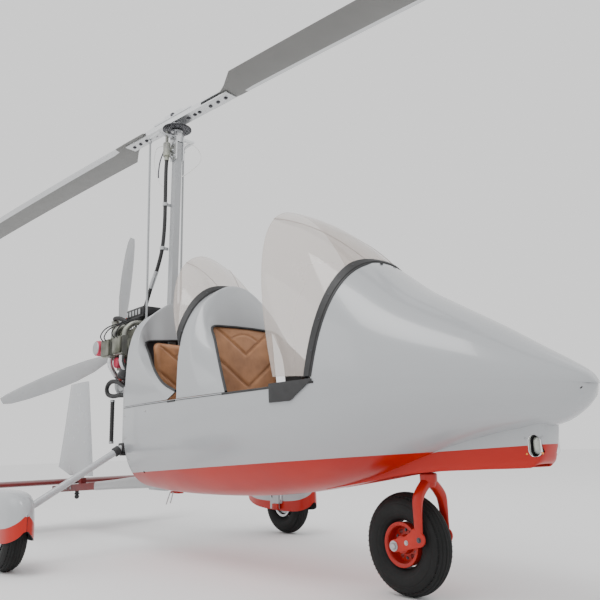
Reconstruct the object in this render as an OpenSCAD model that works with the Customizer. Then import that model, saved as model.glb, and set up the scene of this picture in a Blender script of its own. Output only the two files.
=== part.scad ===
/* [Body shell] */
// Wall thickness of the moulded body panels
shell_t = 6; // [5:0.5:7]
// Height of the cockpit sill above the ground
sill_z = 812; // [806:1:818]
// Height at which the red belly starts, at the rotor hub's station
belly_z = 445; // [440:1:450]
// Thickness of the windshield sheets
screen_t = 5; // [4:0.5:6]

/* [Landing gear] */
// Distance between the centres of the main wheels
track = 1820; // [1810:1:1830]
// Main wheels' axle, behind the rotor hub
axle_x = -50; // [-54:1:-46]
// Nose wheel's axle, ahead of the rotor hub
nose_x = 1788; // [1784:1:1792]
// Steering axis of the nose fork, ahead of the rotor hub
steer_x = 1905; // [1903:1:1907]
// Radius of the main tyres
main_r = 192; // [190:0.5:193]
// Radius of the nose tyre
nose_r = 192; // [190:0.5:193]
// Width of a tyre
tyre_w = 110; // [104:1:112]
// Radius of the wheel rims
rim_r = 81; // [80:0.5:83]
// Diameter of the wheel axles
axle_d = 20; // [18:0.5:22]
// Bore along the hollow nose axle, for a tow bar's pin
tow_d = 12; // [10:0.5:13]

/* [Rotor] */
// Radius of the rotor, from the mast head to a blade tip
rotor_r = 4200; // [4100:10:4250]
// Chord of a rotor blade
blade_chord = 236; // [225:1:240]
// Height of the rotor hub above the ground
hub_z = 2680; // [2675:1:2685]
// Direction of the front blade from straight ahead
rotor_turn = 8.3; // [0:0.1:20]
// Teeter of the rotor at rest, front blade up
teeter = 1.3; // [0:0.1:1.5]
// Diameter of the rotor spindle
spindle_d = 30; // [28:1:32]

/* [Propeller] */
// Radius of the propeller
prop_r = 845; // [800:1:848]
// Station of the propeller disc
prop_x = -750; // [-760:1:-745]
// Height of the propeller shaft
prop_z = 1240; // [1238:1:1250]

/* [Tail] */
// Half span of the horizontal stabilizer
stab_half = 770; // [750:1:780]
// Station of the rudder's hinge axis
rudder_x = -1290; // [-1295:1:-1285]
// Hole through the end of the tail boom, for a tie-down pin
tie_d = 12; // [10:0.5:14]

/* [Hidden] */
$fn = 64;

// ---- tables -------------------------------------------------------------
// Lower half of the body: station, half width, bottom, widest height, squareness
LOW = [[-40, 306, 352, 812, 3.0], [200, 338, 334, 812, 2.7], [600, 362, 330, 812, 2.5], [1000, 368, 343, 812, 2.4],
  [1355, 366, 378, 812, 2.4], [1640, 354, 428, 812, 2.3], [1800, 338, 472, 808, 2.2], [1950, 312, 518, 800, 2.1],
  [2100, 276, 556, 789, 2.0], [2250, 228, 586, 777, 2.0], [2380, 176, 604, 764, 2.0], [2480, 126, 624, 753, 2.0],
  [2550, 78, 664, 745, 2.0], [2588, 40, 703, 740, 2.0], [2600, 14, 726, 738, 2.0]];
// Top of the nose cowl: station, height of the crown, squareness
TOP = [[1600, 1418, 2.2], [1746, 1313, 2.15], [1925, 1176, 2.1], [2065, 1091, 2.05], [2273, 974, 2.0], [2418, 883, 2.0],
  [2518, 821, 2.0], [2579, 778, 2.0], [2600, 748, 2.0]];
// Underside of the nose keel box: station, height
KEEL = [[1380, 382], [1600, 414], [1905, 458], [2200, 474], [2380, 481], [2436, 492]];
// Rear cockpit's edge, from the sill to the centre: x, half width, z
REAR_EDGE = [[632, 357, 852], [480, 342, 905], [330, 308, 985], [160, 255, 1100], [22, 200, 1190], [70, 100, 1200], [96, 0, 1204]];
// Front cockpit's edge, from the sill to the centre
FRONT_EDGE = [[1078, 360, 815], [990, 322, 905], [900, 282, 1000], [812, 242, 1095], [735, 205, 1175], [722, 100, 1188], [720, 0, 1190]];
// Crease of the middle fairing, from the sill to the centre
MID_CREASE = [[863, 364, 815], [820, 360, 905], [764, 349, 1000], [708, 312, 1130], [672, 232, 1292], [664, 110, 1400], [664, 0, 1432]];
// Middle fairing's rear edge, which carries the rear windshield
MID_REAR = [[640, 357, 815], [640, 354, 930], [636, 343, 1045], [626, 306, 1175], [616, 226, 1305], [612, 115, 1394], [612, 0, 1425]];
// Rear fairing's rear edge at the firewall
TAIL_EDGE = [[-32, 306, 815], [-26, 305, 930], [-18, 303, 1045], [-8, 292, 1170], [2, 246, 1290], [6, 130, 1380], [6, 0, 1405]];
// Crease of the rear fairing
TAIL_CREASE = [[560, 364, 815], [420, 358, 905], [260, 335, 1010], [90, 290, 1140], [34, 225, 1290], [66, 110, 1412], [80, 0, 1442]];
// Wheel spat: station, half width, top, bottom
SPAT = [[-470, 14, 300, 222], [-430, 32, 338, 198], [-330, 58, 372, 172], [-200, 73, 388, 158], [-60, 77, 391, 151],
  [60, 76, 387, 150], [140, 66, 374, 155], [188, 48, 350, 168], [216, 28, 318, 186], [225, 12, 290, 205]];
// Rotor blade: radius, chord, thickness
BLADE = [[300, 78, 17], [400, 78, 17], [522, 138, 17], [545, 150, 22], [680, 1, 27], [1600, 1, 27], [2600, 1, 27], [3500, 1, 27], [4150, 1, 26], [4200, 0.97, 12]];
// Propeller blade: radius, chord, thickness, pitch angle
PROP = [[67, 52, 40, 48], [130, 74, 30, 44], [240, 112, 22, 37], [380, 126, 17, 30], [540, 116, 13, 25], [700, 94, 10, 21], [800, 70, 8, 19], [845, 42, 5, 18]];
// Route of the flexible drive of the pre-rotator
DRIVE = [[-28, -58, 2398], [-31, -60, 2330], [-33, -60, 2220], [-34, -60, 2100], [-38, -60, 1960], [-62, -60, 1815], [-118, -60, 1700], [-190, -60, 1600], [-250, -60, 1505], [-300, -60, 1425], [-318, -60, 1350]];
// Route of the looped hose, and of the upright one
LOOP = [[-184, -205, 935], [-240, -205, 952], [-330, -205, 986], [-425, -205, 996], [-482, -205, 968], [-472, -205, 924], [-400, -205, 904], [-310, -205, 903], [-250, -205, 900], [-184, -205, 900]];

// ---- curves and sections ----------------------------------------------------
function lerp(a, b, s) = a + (b - a) * s;
function seg(T, x) = let (n = len(T)) x <= T[0][0] ? 0 : x >= T[n - 1][0] ? n - 2 : [for (k = [0:n - 2]) if (x >= T[k][0] && x < T[k + 1][0]) k][0];
function slope(T, c, k) = let (a = max(k - 1, 0), b = min(k + 1, len(T) - 1)) (T[b][c] - T[a][c]) / (T[b][0] - T[a][0]);
// Column c of table T at station x, through smooth curves
function at(T, c, x) = let (k = seg(T, x), h = T[k + 1][0] - T[k][0], s = (x - T[k][0]) / h, a = T[k][c], b = T[k + 1][c], m = slope(T, c, k) * h, n = slope(T, c, k + 1) * h)
  a * (2 * s * s * s - 3 * s * s + 1) + m * (s * s * s - 2 * s * s + s) + b * (3 * s * s - 2 * s * s * s) + n * (s * s * s - s * s);
// Point at part u of a curve through the points P
function curve(P, u) = let (n = len(P) - 1, q = min(max(u, 0) * n, n - 0.000001), k = floor(q), s = q - k, p1 = P[k], p2 = P[k + 1],
    p0 = k > 0 ? P[k - 1] : 2 * p1 - p2, p3 = k + 2 <= n ? P[k + 2] : [P[n - 1][0], -P[n - 1][1], P[n - 1][2]])
  0.5 * (2 * p1 + (p2 - p0) * s + (2 * p0 - 5 * p1 + 4 * p2 - p3) * s * s + (3 * p1 - p0 - 3 * p2 + p3) * s * s * s);
// A half curve carried over to the other side: v from -1 at the right sill to 1 at the left sill
function over(P, v) = let (p = curve(P, 1 - abs(v))) [p[0], (v < 0 ? -1 : 1) * p[1], p[2]];
// Lower body at station x and angle a: 0 at the widest height, 90 at the bottom
function low(x, a) = let (w = at(LOW, 1, x), zb = at(LOW, 2, x), zw = at(LOW, 3, x), e = 2 / at(LOW, 4, x)) [x, w * pow(max(cos(a), 0), e), zw - (zw - zb) * pow(max(sin(a), 0), e)];
// The angle at which the lower body is at height z
function low_angle(x, z) = let (zb = at(LOW, 2, x), zw = at(LOW, 3, x), q = (zw - z) / (zw - zb)) q >= 1 ? 90 : asin(pow(max(q, 0), at(LOW, 4, x) / 2));
// Height of the line between the white body and the red belly
function belly(x) = belly_z + 0.0452 * x;
// Upper nose at station x and angle a: 0 at the widest height, 90 at the crown
function top(x, a) = let (w = at(LOW, 1, x), zw = at(LOW, 3, x), zt = at(TOP, 1, x), e = 2 / at(TOP, 2, x)) [x, w * pow(max(cos(a), 0), e), zw + (zt - zw) * pow(max(sin(a), 0), e)];
// Station of the nose cowl's rear edge at angle a
function cowl_x(a) = 1640 + 106 * pow(max(sin(a), 0), 0.8);
function unit(v) = v / max(norm(v), 0.000001);
function side(p, s) = [p[0], s * p[1], p[2]];

// ---- builders ---------------------------------------------------------------
// A sheet of even thickness t under the grid of points G; s = 1 or -1 picks the side it grows to
module sheet(G, t, s = 1) {
  m = len(G); n = len(G[0]);
  N = [for (i = [0:m - 1]) [for (j = [0:n - 1]) unit(cross(G[min(i + 1, m - 1)][j] - G[max(i - 1, 0)][j], G[i][min(j + 1, n - 1)] - G[i][max(j - 1, 0)]))]];
  A = [for (i = [0:m - 1], j = [0:n - 1]) G[i][j]];
  B = [for (i = [0:m - 1], j = [0:n - 1]) G[i][j] - s * t * N[i][j]];
  o = m * n;
  rim = concat([for (j = [0:n - 2]) j], [for (i = [0:m - 2]) i * n + n - 1], [for (j = [n - 1:-1:1]) (m - 1) * n + j], [for (i = [m - 1:-1:1]) i * n]);
  F = concat([for (i = [0:m - 2], j = [0:n - 2]) let (a = i * n + j, b = a + 1, c = a + n + 1, d = a + n) each [[a, b, c], [a, c, d]]],
    [for (i = [0:m - 2], j = [0:n - 2]) let (a = o + i * n + j, b = a + 1, c = a + n + 1, d = a + n) each [[a, c, b], [a, d, c]]],
    [for (k = [0:len(rim) - 1]) let (a = rim[k], b = rim[(k + 1) % len(rim)]) each [[b, a, a + o], [b, a + o, b + o]]]);
  polyhedron(points = concat(A, B), faces = s > 0 ? F : [for (f = F) [f[0], f[2], f[1]]]);
}
// A solid through closed rings, with a fan over each end
module skin(R, s = 1) {
  m = len(R); n = len(R[0]);
  c0 = [for (k = [0:2]) [for (p = R[0]) p[k]] * [for (p = R[0]) 1 / n]];
  c1 = [for (k = [0:2]) [for (p = R[m - 1]) p[k]] * [for (p = R[m - 1]) 1 / n]];
  F = concat([for (i = [0:m - 2], j = [0:n - 1]) let (a = i * n + j, b = i * n + (j + 1) % n) each [[a, b, b + n], [a, b + n, a + n]]],
    [for (j = [0:n - 1]) [m * n, (j + 1) % n, j]], [for (j = [0:n - 1]) [m * n + 1, (m - 1) * n + j, (m - 1) * n + (j + 1) % n]]);
  polyhedron(points = concat([for (r = R) each r], [c0, c1]), faces = s > 0 ? F : [for (f = F) [f[0], f[2], f[1]]]);
}
// Outline of a streamlined section, chord 1 from the leading edge at 0, thickness t; 2k points
function foil(t, k = 9) = let (h = function (x) 5 * t * (0.2969 * sqrt(x) - 0.126 * x - 0.3516 * x * x + 0.2843 * x * x * x - 0.1015 * x * x * x * x) + 0.0025 * x)
  concat([for (i = [0:k]) let (x = (1 - cos(180 * i / k)) / 2) [x, h(x)]], [for (i = [k:-1:1]) let (x = (1 - cos(180 * i / k)) / 2) [x, -h(x) - (i == k ? 0.001 : 0)]]);
// Round tube of diameter d along the points P
module tube(P, d, sides = 10) {
  n = len(P);
  R = [for (i = [0:n - 1]) let (t = unit(P[min(i + 1, n - 1)] - P[max(i - 1, 0)]), u = unit(cross(t, [0, 1, 0.01])), v = cross(t, u))
    [for (j = [0:sides - 1]) P[i] + d / 2 * (cos(360 * j / sides) * u + sin(360 * j / sides) * v)]];
  skin(R, -1);
}
module rod(a, b, d) { v = b - a; translate(a) rotate([0, acos(v[2] / norm(v)), atan2(v[1], v[0])]) cylinder(d = d, h = norm(v)); }
module both() { children(); mirror([0, 1, 0]) children(); }

// ---- body shell ---------------------------------------------------------------
module belly_pan() {
  X = [for (i = [0:17]) lerp(-38, 1985, i / 17)];
  color([0.72, 0.1, 0.07]) difference() {
    sheet([for (x = X) let (a = low_angle(x, belly(x) - 1)) [for (j = [-6:6]) side(low(x, 90 - (90 - a) * pow(abs(j) / 6, 1.3)), j < 0 ? -1 : 1)]], shell_t, -1);
    translate([steer_x, 0, 400]) cylinder(d = 74, h = 220);
  }
}
module hull_half(s) {
  X = [for (i = [0:24]) lerp(-38, 2568, pow(i / 24, 0.85))];
  color([0.86, 0.87, 0.88]) sheet([for (x = X) let (a = low_angle(x, belly(x) + 1)) [for (j = [0:8]) let (q = low(x, lerp(min(a, 90), 0.25, j / 8))) [q[0], s * max(q[1], 1), q[2]]]], shell_t, -s);
}
module hull_side_left() { hull_half(1); }
module hull_side_right() { hull_half(-1); }
module front_cowl() {
  color([0.87, 0.88, 0.89]) sheet([for (i = [0:15]) [for (j = [-9:9]) let (a = 90 - 88.8 * abs(j) / 9, x0 = cowl_x(a), x = lerp(x0, 2568, pow(i / 15, 0.9))) side(top(x, a), j < 0 ? -1 : 1)]], shell_t, 1);
}
module nose_cap() {
  color([0.87, 0.88, 0.89]) skin([for (x = [2571, 2580, 2588, 2595, 2600])
    [for (k = [0:19]) let (a = 18 * k, f = x > 2599 ? 0.6 : 1, q = a <= 180 ? top(x, abs(90 - abs(a - 90))) : low(x, abs(90 - abs(a - 270))), c = 738)
      [x, f * (a > 90 && a < 270 ? -1 : 1) * q[1], c + f * (q[2] - c)]]], -1);
}
module nose_keel_box() {
  // Plan of the walls, from the right rear round the nose to the left rear
  R = concat([for (i = [0:11]) [lerp(1640, box_x, i / 11), -box_b]], [for (k = [1:7]) [box_x + box_b * sin(22.5 * k), -box_b * cos(22.5 * k)]], [for (i = [11:-1:0]) [lerp(1640, box_x, i / 11), box_b]]);
  color([0.72, 0.1, 0.07]) difference() {
    union() {
      sheet([for (j = [0:4]) [for (q = R) let (u = j / 4, zb = at(KEEL, 1, q[0]), zt = max(under(q[0], q[1]), zb + 3)) [q[0] - 30 * pow(1 - u, 1.6) * max(q[0] - box_x, 0) / box_b, q[1], lerp(zb, zt, u)]]], shell_t, -1);
      sheet([for (i = [0:12]) let (x = lerp(1640, box_x + box_b - 8, i / 12), b = x > box_x ? sqrt(box_b * box_b - pow(x - box_x, 2)) : box_b, g = 30 * max(x - box_x, 0) / box_b) [for (j = [-2:2]) [x - g, b * j / 2, at(KEEL, 1, x) - 0.01]]], shell_t, -1);
    }
    translate([steer_x, 0, 400]) cylinder(d = 64, h = 220);
    light_slot(46, 400);
  }
}
box_b = 62; box_x = 2374;
// Height of the body's underside at station x and offset y, less a hair
function under(x, y) = let (w = at(LOW, 1, x), zb = at(LOW, 2, x), zw = at(LOW, 3, x), n = at(LOW, 4, x)) zw - (zw - zb) * pow(1 - pow(min(abs(y) / w, 1), n), 1 / n) - 1.5;
// Upright oval hole across the nose keel box
module light_slot(d, l) {
  translate([2396, 0, 551]) rotate([90, 0, 0]) translate([0, 0, -l / 2]) linear_extrude(l) { translate([0, 14]) circle(d = d); translate([0, -14]) circle(d = d); square([d, 28], center = true); }
}
module nose_light_tube() { color([0.8, 0.8, 0.82]) difference() { light_slot(45, 80); light_slot(39, 96); } }
module mid_fairing() {
  color([0.86, 0.87, 0.89]) sheet([for (u = [0, 0.2, 0.4, 0.55, 0.7, 0.85, 1]) [for (j = [-11:11]) let (v = j / 11, a = over(MID_REAR, v), b = over(MID_CREASE, v), c = over(FRONT_EDGE, v))
    u < 0.4 ? lerp(a, b, u / 0.4) : let (q = (u - 0.4) / 0.6) b * (1 - q) * (1 - q) + 2 * q * (1 - q) * (b + 0.5 * (c - b) + 26 * [1, 0.25 * (v < 0 ? -1 : 1), 0.5] * (1 - abs(v))) + c * q * q]], shell_t, 1);
}
module rear_fairing() {
  color([0.86, 0.87, 0.89]) difference() {
    sheet([for (u = [0, 0.2, 0.4, 0.55, 0.7, 0.85, 1]) [for (j = [-11:11]) let (v = j / 11, a = over(TAIL_EDGE, v), b = over(TAIL_CREASE, v), c = over(REAR_EDGE, v))
      u < 0.4 ? lerp(a, b, u / 0.4) : lerp(b, c, (u - 0.4) / 0.6)]], shell_t, 1);
  }
}
module firewall() {
  H = concat([for (k = [0:10]) let (q = low(-38, 9 * k)) [q[1] - 8, q[2] + 2]]);
  color([0.55, 0.56, 0.57]) translate([-40, 0, 0]) rotate([90, 0, 90]) difference() {
    linear_extrude(5) polygon(concat([for (k = [10:-1:0]) let (q = low(-30, 9 * k)) [max(q[1] - 9, 0), q[2] + (k > 5 ? 9 : 0)]], [[296, 930], [292, 1045], [280, 1165], [234, 1282], [122, 1366], [0, 1390]],
      [[-122, 1366], [-234, 1282], [-280, 1165], [-292, 1045], [-296, 930]], [for (k = [0:9]) let (q = low(-30, 9 * k)) [-max(q[1] - 9, 0), q[2] + (k > 5 ? 9 : 0)]]));
    translate([-31, 360, -5]) cube([62, 66, 20]);
    translate([-25, 640, -5]) cube([50, 800, 20]);
  }
}
module front_windshield() {
  color([0.9, 0.86, 0.83, 0.4]) sheet([for (i = [0:7]) let (s = i / 7) [for (j = [-10:10]) let (v = j / 10, a = 90 - 88.8 * abs(v), g = v < 0 ? -1 : 1,
    b = side(top(cowl_x(a) - 4, a) + [-1.5, 0, 4], g), z = 822 + 882 * pow(sin(a), 2 / 2.3), f = [1415 - 235 * (z - 822) / 882, g * 352 * pow(cos(a), 2 / 2.3), z])
    lerp(b, f, s) + 4 * s * (1 - s) * [12, 4 * g * cos(a), 34 * sin(a)]]], screen_t, -1);
}
module rear_windshield() {
  color([0.9, 0.86, 0.83, 0.4]) sheet([for (i = [0:6]) let (s = i / 6) [for (j = [-9:9]) let (v = j / 9, a = 90 * (1 - abs(v)), g = v < 0 ? -1 : 1,
    b = over(MID_REAR, v * 0.62) + [-7, 0, 4.2], z = 1085 + 591 * pow(sin(a), 2 / 1.9), f = [624 - 284 * (z - 1085) / 591, g * 336 * pow(cos(a), 2 / 1.9), z])
    lerp(b, f, s) + 4 * s * (1 - s) * [0, 3 * g * cos(a), 22 * sin(a)]]], screen_t, -1);
}

// ---- cabin ----------------------------------------------------------------
module cabin_floor() { color([0.3, 0.3, 0.31]) translate([-28, 0, 429]) rotate([0, -4.66, 0]) translate([0, -220, 0]) cube([1790, 440, 6]); }
module instrument_panel() {
  color([0.12, 0.12, 0.13]) translate([1606, 0, 0]) rotate([90, 0, 90]) difference() {
    linear_extrude(7) polygon([for (k = [0:18]) [300 * cos(10 * k), 842 + 340 * pow(sin(10 * k), 0.7)]]);
    for (y = [-150, -50, 50, 150]) translate([y, 1020, -1]) cylinder(d = 79, h = 10);
    for (y = [-60, 60]) translate([y, 1115, -1]) cylinder(d = 57, h = 10);
  }
}
module cabin_controls() { color([0.13, 0.13, 0.14]) for (x = [1290, 655]) { z0 = x > 1000 ? 545.5 : 494; rod([x, 0, z0], [x - 30, 0, z0 + 190], 22); rod([x - 30, 0, z0 + 190], [x - 75, 0, z0 + 330], 26); } rudder_pedals(); }
module rudder_pedals() { color([0.6, 0.6, 0.62]) for (y = [-140, 140]) translate([1560, y, 567.5]) rotate([0, -18, 0]) { translate([0, -42, 0]) cube([8, 84, 130]); } }
module seat_boxes() { color([0.25, 0.25, 0.26]) { translate([815, -205, 542]) cube([390, 410, 26]); translate([190, -205, 492]) cube([380, 410, 76]); } }
module pad(l, w, h, r) { hull() for (x = [r, l - r], y = [-w / 2 + r, w / 2 - r], z = [r, h - r]) translate([x, y, z]) sphere(r = r, $fn = 16); }
module front_seat_cushion() { color([0.8, 0.6, 0.4]) translate([822, 0, 570]) pad(420, 420, 85, 26); }
module rear_seat_cushion() { color([0.8, 0.6, 0.4]) translate([220, 0, 570]) pad(375, 420, 85, 26); }
module front_seat_back() { color([0.8, 0.6, 0.4]) translate([778, 0, 572]) rotate([0, -98, 0]) translate([0, 0, -32]) pad(590, 424, 66, 26); }
module rear_seat_back() { color([0.8, 0.6, 0.4]) translate([185, 0, 574]) rotate([0, -95.3, 0]) translate([0, 0, -30]) pad(604, 424, 60, 22); }

// ---- frame and mast ---------------------------------------------------------
module beam(a, b, w, h) { v = b - a; translate(a) rotate([0, -atan2(v[2], v[0]), 0]) translate([0, -w / 2, -h / 2]) cube([norm(v), w, h]); }
module keel_beam() { color([0.6, 0.61, 0.62]) beam([-34, 0, 396], [1872, 0, 552], 60, 57); steering_head(); }
module steering_head() { color([0.6, 0.61, 0.62]) translate([steer_x, 0, 516]) difference() { union() { cylinder(d = 66, h = 84); translate([-36.5, -27, 4]) cube([22, 54, 58]); } translate([0, 0, -1]) cylinder(d = 38.1, h = 90); } }
module tail_boom() {
  // Station, centre height, half width, half height
  B = [[-43, 396, 34, 42], [-250, 380, 34, 40], [-500, 364, 33, 36], [-750, 348, 31, 31], [-1022, 331, 29, 29]];
  color([0.75, 0.76, 0.77]) skin([for (b = B) [for (k = [0:15]) let (a = 22.5 * k, c = cos(a), d = sin(a)) [b[0], b[2] * sign(c) * pow(abs(c), 0.5), b[1] + b[3] * sign(d) * pow(abs(d), 0.5)]]], 1);
}
module tail_boom_end() {
  color([0.62, 0.12, 0.1]) difference() { beam([-1024, 0, 331], [-1800, 0, 286], 50, 50); translate([-1765, 0, 250]) cylinder(d = tie_d, h = 80); translate([rudder_x, 0, 250]) cylinder(d = 24.1, h = 120); }
  rudder_post();
}
module tail_skid() { color([0.08, 0.08, 0.08]) { translate([-1380, 0, 246]) cylinder(d = 22, h = 38); translate([-1380, 0, 246]) sphere(d = 34); } }
module mast_bar() { translate([-76.2, 0, 441]) rotate([0, 2.325, 0]) translate([-26, -21, 0]) cube([52, 42, 2083]); }
module mast() { color([0.72, 0.73, 0.75]) mast_bar(); }
module mast_head() {
  color([0.7, 0.71, 0.73]) difference() {
    for (s = [-1, 1]) translate([0, s * 25.6 + 4, 0]) rotate([90, 0, 0]) linear_extrude(8) polygon([[-32, 2400], [40, 2400], [46, 2560], [34, 2592], [-34, 2592], [-48, 2540]]);
    translate([-15.5, -60, 2554.5]) cube([29, 120, 17]);
  }
}
module rotor_head() {
  color([0.75, 0.76, 0.78]) difference() {
    union() {
      translate([-28, -21, 2530]) cube([58, 42, 70]); translate([0, 0, 2600]) cylinder(d = 40, h = 8); translate([0, 0, 2607]) cylinder(d = 74, h = 5);
      translate([-14, -139, 2556]) cube([26, 264, 14]);
      for (y = [-132, 118]) translate([-124, y - 7, 2556]) cube([112, 14, 14]);
    }
    translate([0, 0, 2500]) cylinder(d = spindle_d + 0.1, h = 200);
  }
}
module prerotator_drive() { color([0.72, 0.72, 0.73]) { translate([-28, -58, 2400]) cylinder(d = 30, h = 30); translate([-28, -58, 2428]) cylinder(d = 46, h = 92); translate([-28, -58, 2520]) cylinder(d = 20, h = 56); translate([-28, -58, 2575]) cylinder(d = 32, h = 26); translate([-40, -50, 2470]) cube([24, 20, 26]); } }
module prerotator_shaft() { color([0.1, 0.1, 0.1]) tube(DRIVE, 24, 10); }
module control_rods() { color([0.7, 0.7, 0.72]) { rod([-126, -126, 1306], [-116, -132, 2555.8], 14); rod([-126, 112, 1306], [-116, 118, 2555.8], 14); } }
module engine_block() { color([0.3, 0.31, 0.32]) translate([-470, -150, 1075]) cube([335, 300, 245]); }
module engine_cylinders() { color([0.6, 0.61, 0.6]) for (x = [-215, -375], s = [-1, 1]) translate([x, s * 150.2, 1200]) rotate([-90 * s, 0, 0]) { cylinder(d = 118, h = 84); translate([-58, -55, 84]) cube([116, 110, 34]); } }
module engine_mount() { color([0.5, 0.5, 0.51]) for (s = [-1, 1]) { rod([-41, s * 120, 1110], [-134, s * 120, 1110], 28); rod([-41, s * 120, 1290], [-134, s * 120, 1290], 28); rod([-54, s * 128, 826], [-180, s * 128, 1068], 26); } }
module gearbox() { color([0.62, 0.62, 0.63]) difference() { union() { translate([-470.5, 0, 1225]) rotate([0, -90, 0]) cylinder(d = 230, h = 70); translate([-540, 0, prop_z]) rotate([0, -90, 0]) cylinder(d1 = 150, d2 = 110, h = 130); } translate([-600, 0, prop_z]) rotate([0, -90, 0]) cylinder(d = 40.1, h = 80); } }
module air_filters() { color([0.7, 0.12, 0.16]) for (s = [-1, 1]) translate([-500, s * 175, 1215]) rotate([-90 * s, 0, 0]) cylinder(d1 = 70, d2 = 96, h = 110); }
module exhaust() { color([0.66, 0.66, 0.64]) { translate([-400, -170, 980]) rotate([-90, 0, 0]) cylinder(d = 130, h = 340); for (x = [-380], s = [-1, 1]) rod([x - 20, s * 120, 1020], [x, s * 120, 1067.5], 36); } }
module radiator() { color([0.35, 0.36, 0.37]) { translate([-176, -235, 585]) cube([44, 470, 355]); } }
module cooling_hoses() { color([0.08, 0.08, 0.08]) { tube(LOOP, 26, 10); translate([-398, -205, 612]) cylinder(d = 26, h = 268); } }

// ---- tail -----------------------------------------------------------------
// Wing-like solid through sections: [leading edge point, chord, thickness ratio], chord along -X, thickness along axis n
module wing(S, n) { skin([for (s = S) [for (q = foil(s[2])) s[0] + s[1] * [-q[0], 0, 0] + s[1] * q[1] * n]], 1); }
module stabilizer() {
  color([0.88, 0.88, 0.88]) wing([for (y = [-stab_half, -stab_half / 2, 0, stab_half / 2, stab_half]) [[-1402, y, 352], 410, 0.095]], [0, 0, -1]);
}
module side_fins() {
  color([0.88, 0.88, 0.88]) for (s = [-1, 1]) wing([[[-1430, s * (stab_half + 22), 235], 330, 0.1], [[-1392, s * (stab_half + 22), 352], 430, 0.09], [[-1420, s * (stab_half + 22), 600], 375, 0.09], [[-1475, s * (stab_half + 22), 890], 270, 0.09]], [0, 1, 0]);
}
module rudder_post() { color([0.5, 0.5, 0.5]) translate([rudder_x, 0, 0]) { difference() { translate([-20, -20, 335]) cube([40, 40, 45]); translate([0, 0, 300]) cylinder(d = 24.1, h = 100); } } }
module rudder() {
  color([0.87, 0.87, 0.87]) { wing([[[-1118, 0, 396], 405, 0.09], [[-1127, 0, 456], 619, 0.07], [[-1182, 0, 756], 474, 0.075], [[-1245, 0, 1080], 330, 0.08]], [0, 1, 0]); translate([rudder_x, 0, 318]) cylinder(d = 24, h = 90); }
}

// ---- rotor ----------------------------------------------------------------
module rotor_frame() { translate([0, 0, hub_z]) rotate([0, 0, rotor_turn]) rotate([0, -teeter, 0]) children(); }
module rotor_spindle() { color([0.5, 0.5, 0.52]) { translate([0, 0, 2540]) cylinder(d = spindle_d, h = 104); translate([0, 0, 2644]) rotate([0, 0, rotor_turn]) difference() { translate([-24, -38, -4]) cube([48, 76, 20]); translate([-25, -20, 0]) cube([50, 40, 20]); } } }
module ring_gear() { color([0.12, 0.12, 0.13]) translate([0, 0, 2618]) difference() { cylinder(r = 90, h = 10); translate([0, 0, -1]) cylinder(d = spindle_d, h = 20); for (k = [0:11]) rotate([0, 0, 30 * k]) translate([64, 0, -1]) cylinder(d = 17, h = 20); } }
module rotor_hub_bar() {
  color([0.82, 0.82, 0.84]) rotor_frame() difference() {
    union() { for (z = [9.5, -17.5]) translate([-520, -42, z]) cube([1040, 84, 8]); translate([-285, -42, -9.5]) cube([570, 84, 19]); translate([-190, -46, 17.5]) cube([380, 92, 12]); translate([-85, -38, 29.5]) cube([170, 76, 22]); translate([-22, -18, -34]) cube([44, 36, 20]); }
    for (s = [-1, 1], x = [120, 180, 225, 330, 400, 470]) translate([s * x, 0, -30]) cylinder(d = 12, h = 70);
  }
}
module rotor_blades() {
  color([0.6, 0.61, 0.62]) rotor_frame() for (m = [0, 180]) rotate([0, 0, m])
    skin([for (b = BLADE) let (c = b[1] <= 1 ? b[1] * blade_chord : b[1], r = b[0] * rotor_r / 4200) [for (q = foil(b[2] / c)) [r, 62 - c * q[0], c * q[1] - (r > 545 ? 0.0000074 * r * r : 0.0000074 * 545 * 545 * max(r - 522, 0) / 23)]]], -1);
}

// ---- propeller ------------------------------------------------------------
module propeller_hub() { color([0.2, 0.2, 0.21]) translate([prop_x, 0, prop_z]) rotate([0, 90, 0]) { translate([0, 0, -32]) cylinder(d = 132, h = 64); translate([0, 0, 32]) cylinder(d = 40, h = 110); translate([0, 0, -44]) cylinder(d = 70, h = 12); } }
module propeller_blades() {
  color([0.85, 0.85, 0.86]) translate([prop_x, 0, prop_z]) for (k = [0, 120, 240]) rotate([-5.5 + k, 0, 0])
    skin([for (b = PROP) let (a = b[3]) [for (q = foil(b[2] / b[1])) let (u = (0.35 - q[0]) * b[1], w = q[1] * b[1]) [-u * sin(a) + w * cos(a), u * cos(a) + w * sin(a), b[0] * prop_r / 845]]], 1);
}

// ---- landing gear -----------------------------------------------------------
function leg_z(y) = 579 - 0.575 * (y - 300);
module gear_legs() { color([0.86, 0.86, 0.87]) difference() { both() { rod([axle_x - 25, 60, leg_z(60)], [axle_x - 25, 822, leg_z(822)], 38); translate([axle_x - 53, 22, leg_z(60) - 34]) cube([56, 52, 68]); } both() translate([axle_x - 80, 812, 200]) cube([120, 60, 160]); } }
module main_axles() { color([0.55, 0.55, 0.57]) both() { translate([axle_x - 62, 812.3, 162]) cube([90, 10, 140]); translate([axle_x, 822, main_r]) rotate([-90, 0, 0]) cylinder(d = axle_d, h = 150); } }
module spat(s) {
  difference() {
    translate([0, s * track / 2, 0]) sheet([for (i = [0:17]) let (x = lerp(-470, 225, i / 17), b = at(SPAT, 1, x), zt = at(SPAT, 2, x), zb = at(SPAT, 3, x)) [for (k = [0:14]) let (a = 180 * k / 14, e = 0.5) [x, b * sign(cos(a)) * pow(abs(cos(a)), e), zb + (zt - zb) * pow(max(sin(a), 0), e)]]], 5, -1);
    translate([axle_x, s * 840, main_r]) rotate([90, 0, 0]) cylinder(d = 60, h = 60, center = true);
  }
}
module wheel_spats() { color([0.87, 0.87, 0.88]) for (s = [-1, 1]) spat(s); }
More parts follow.
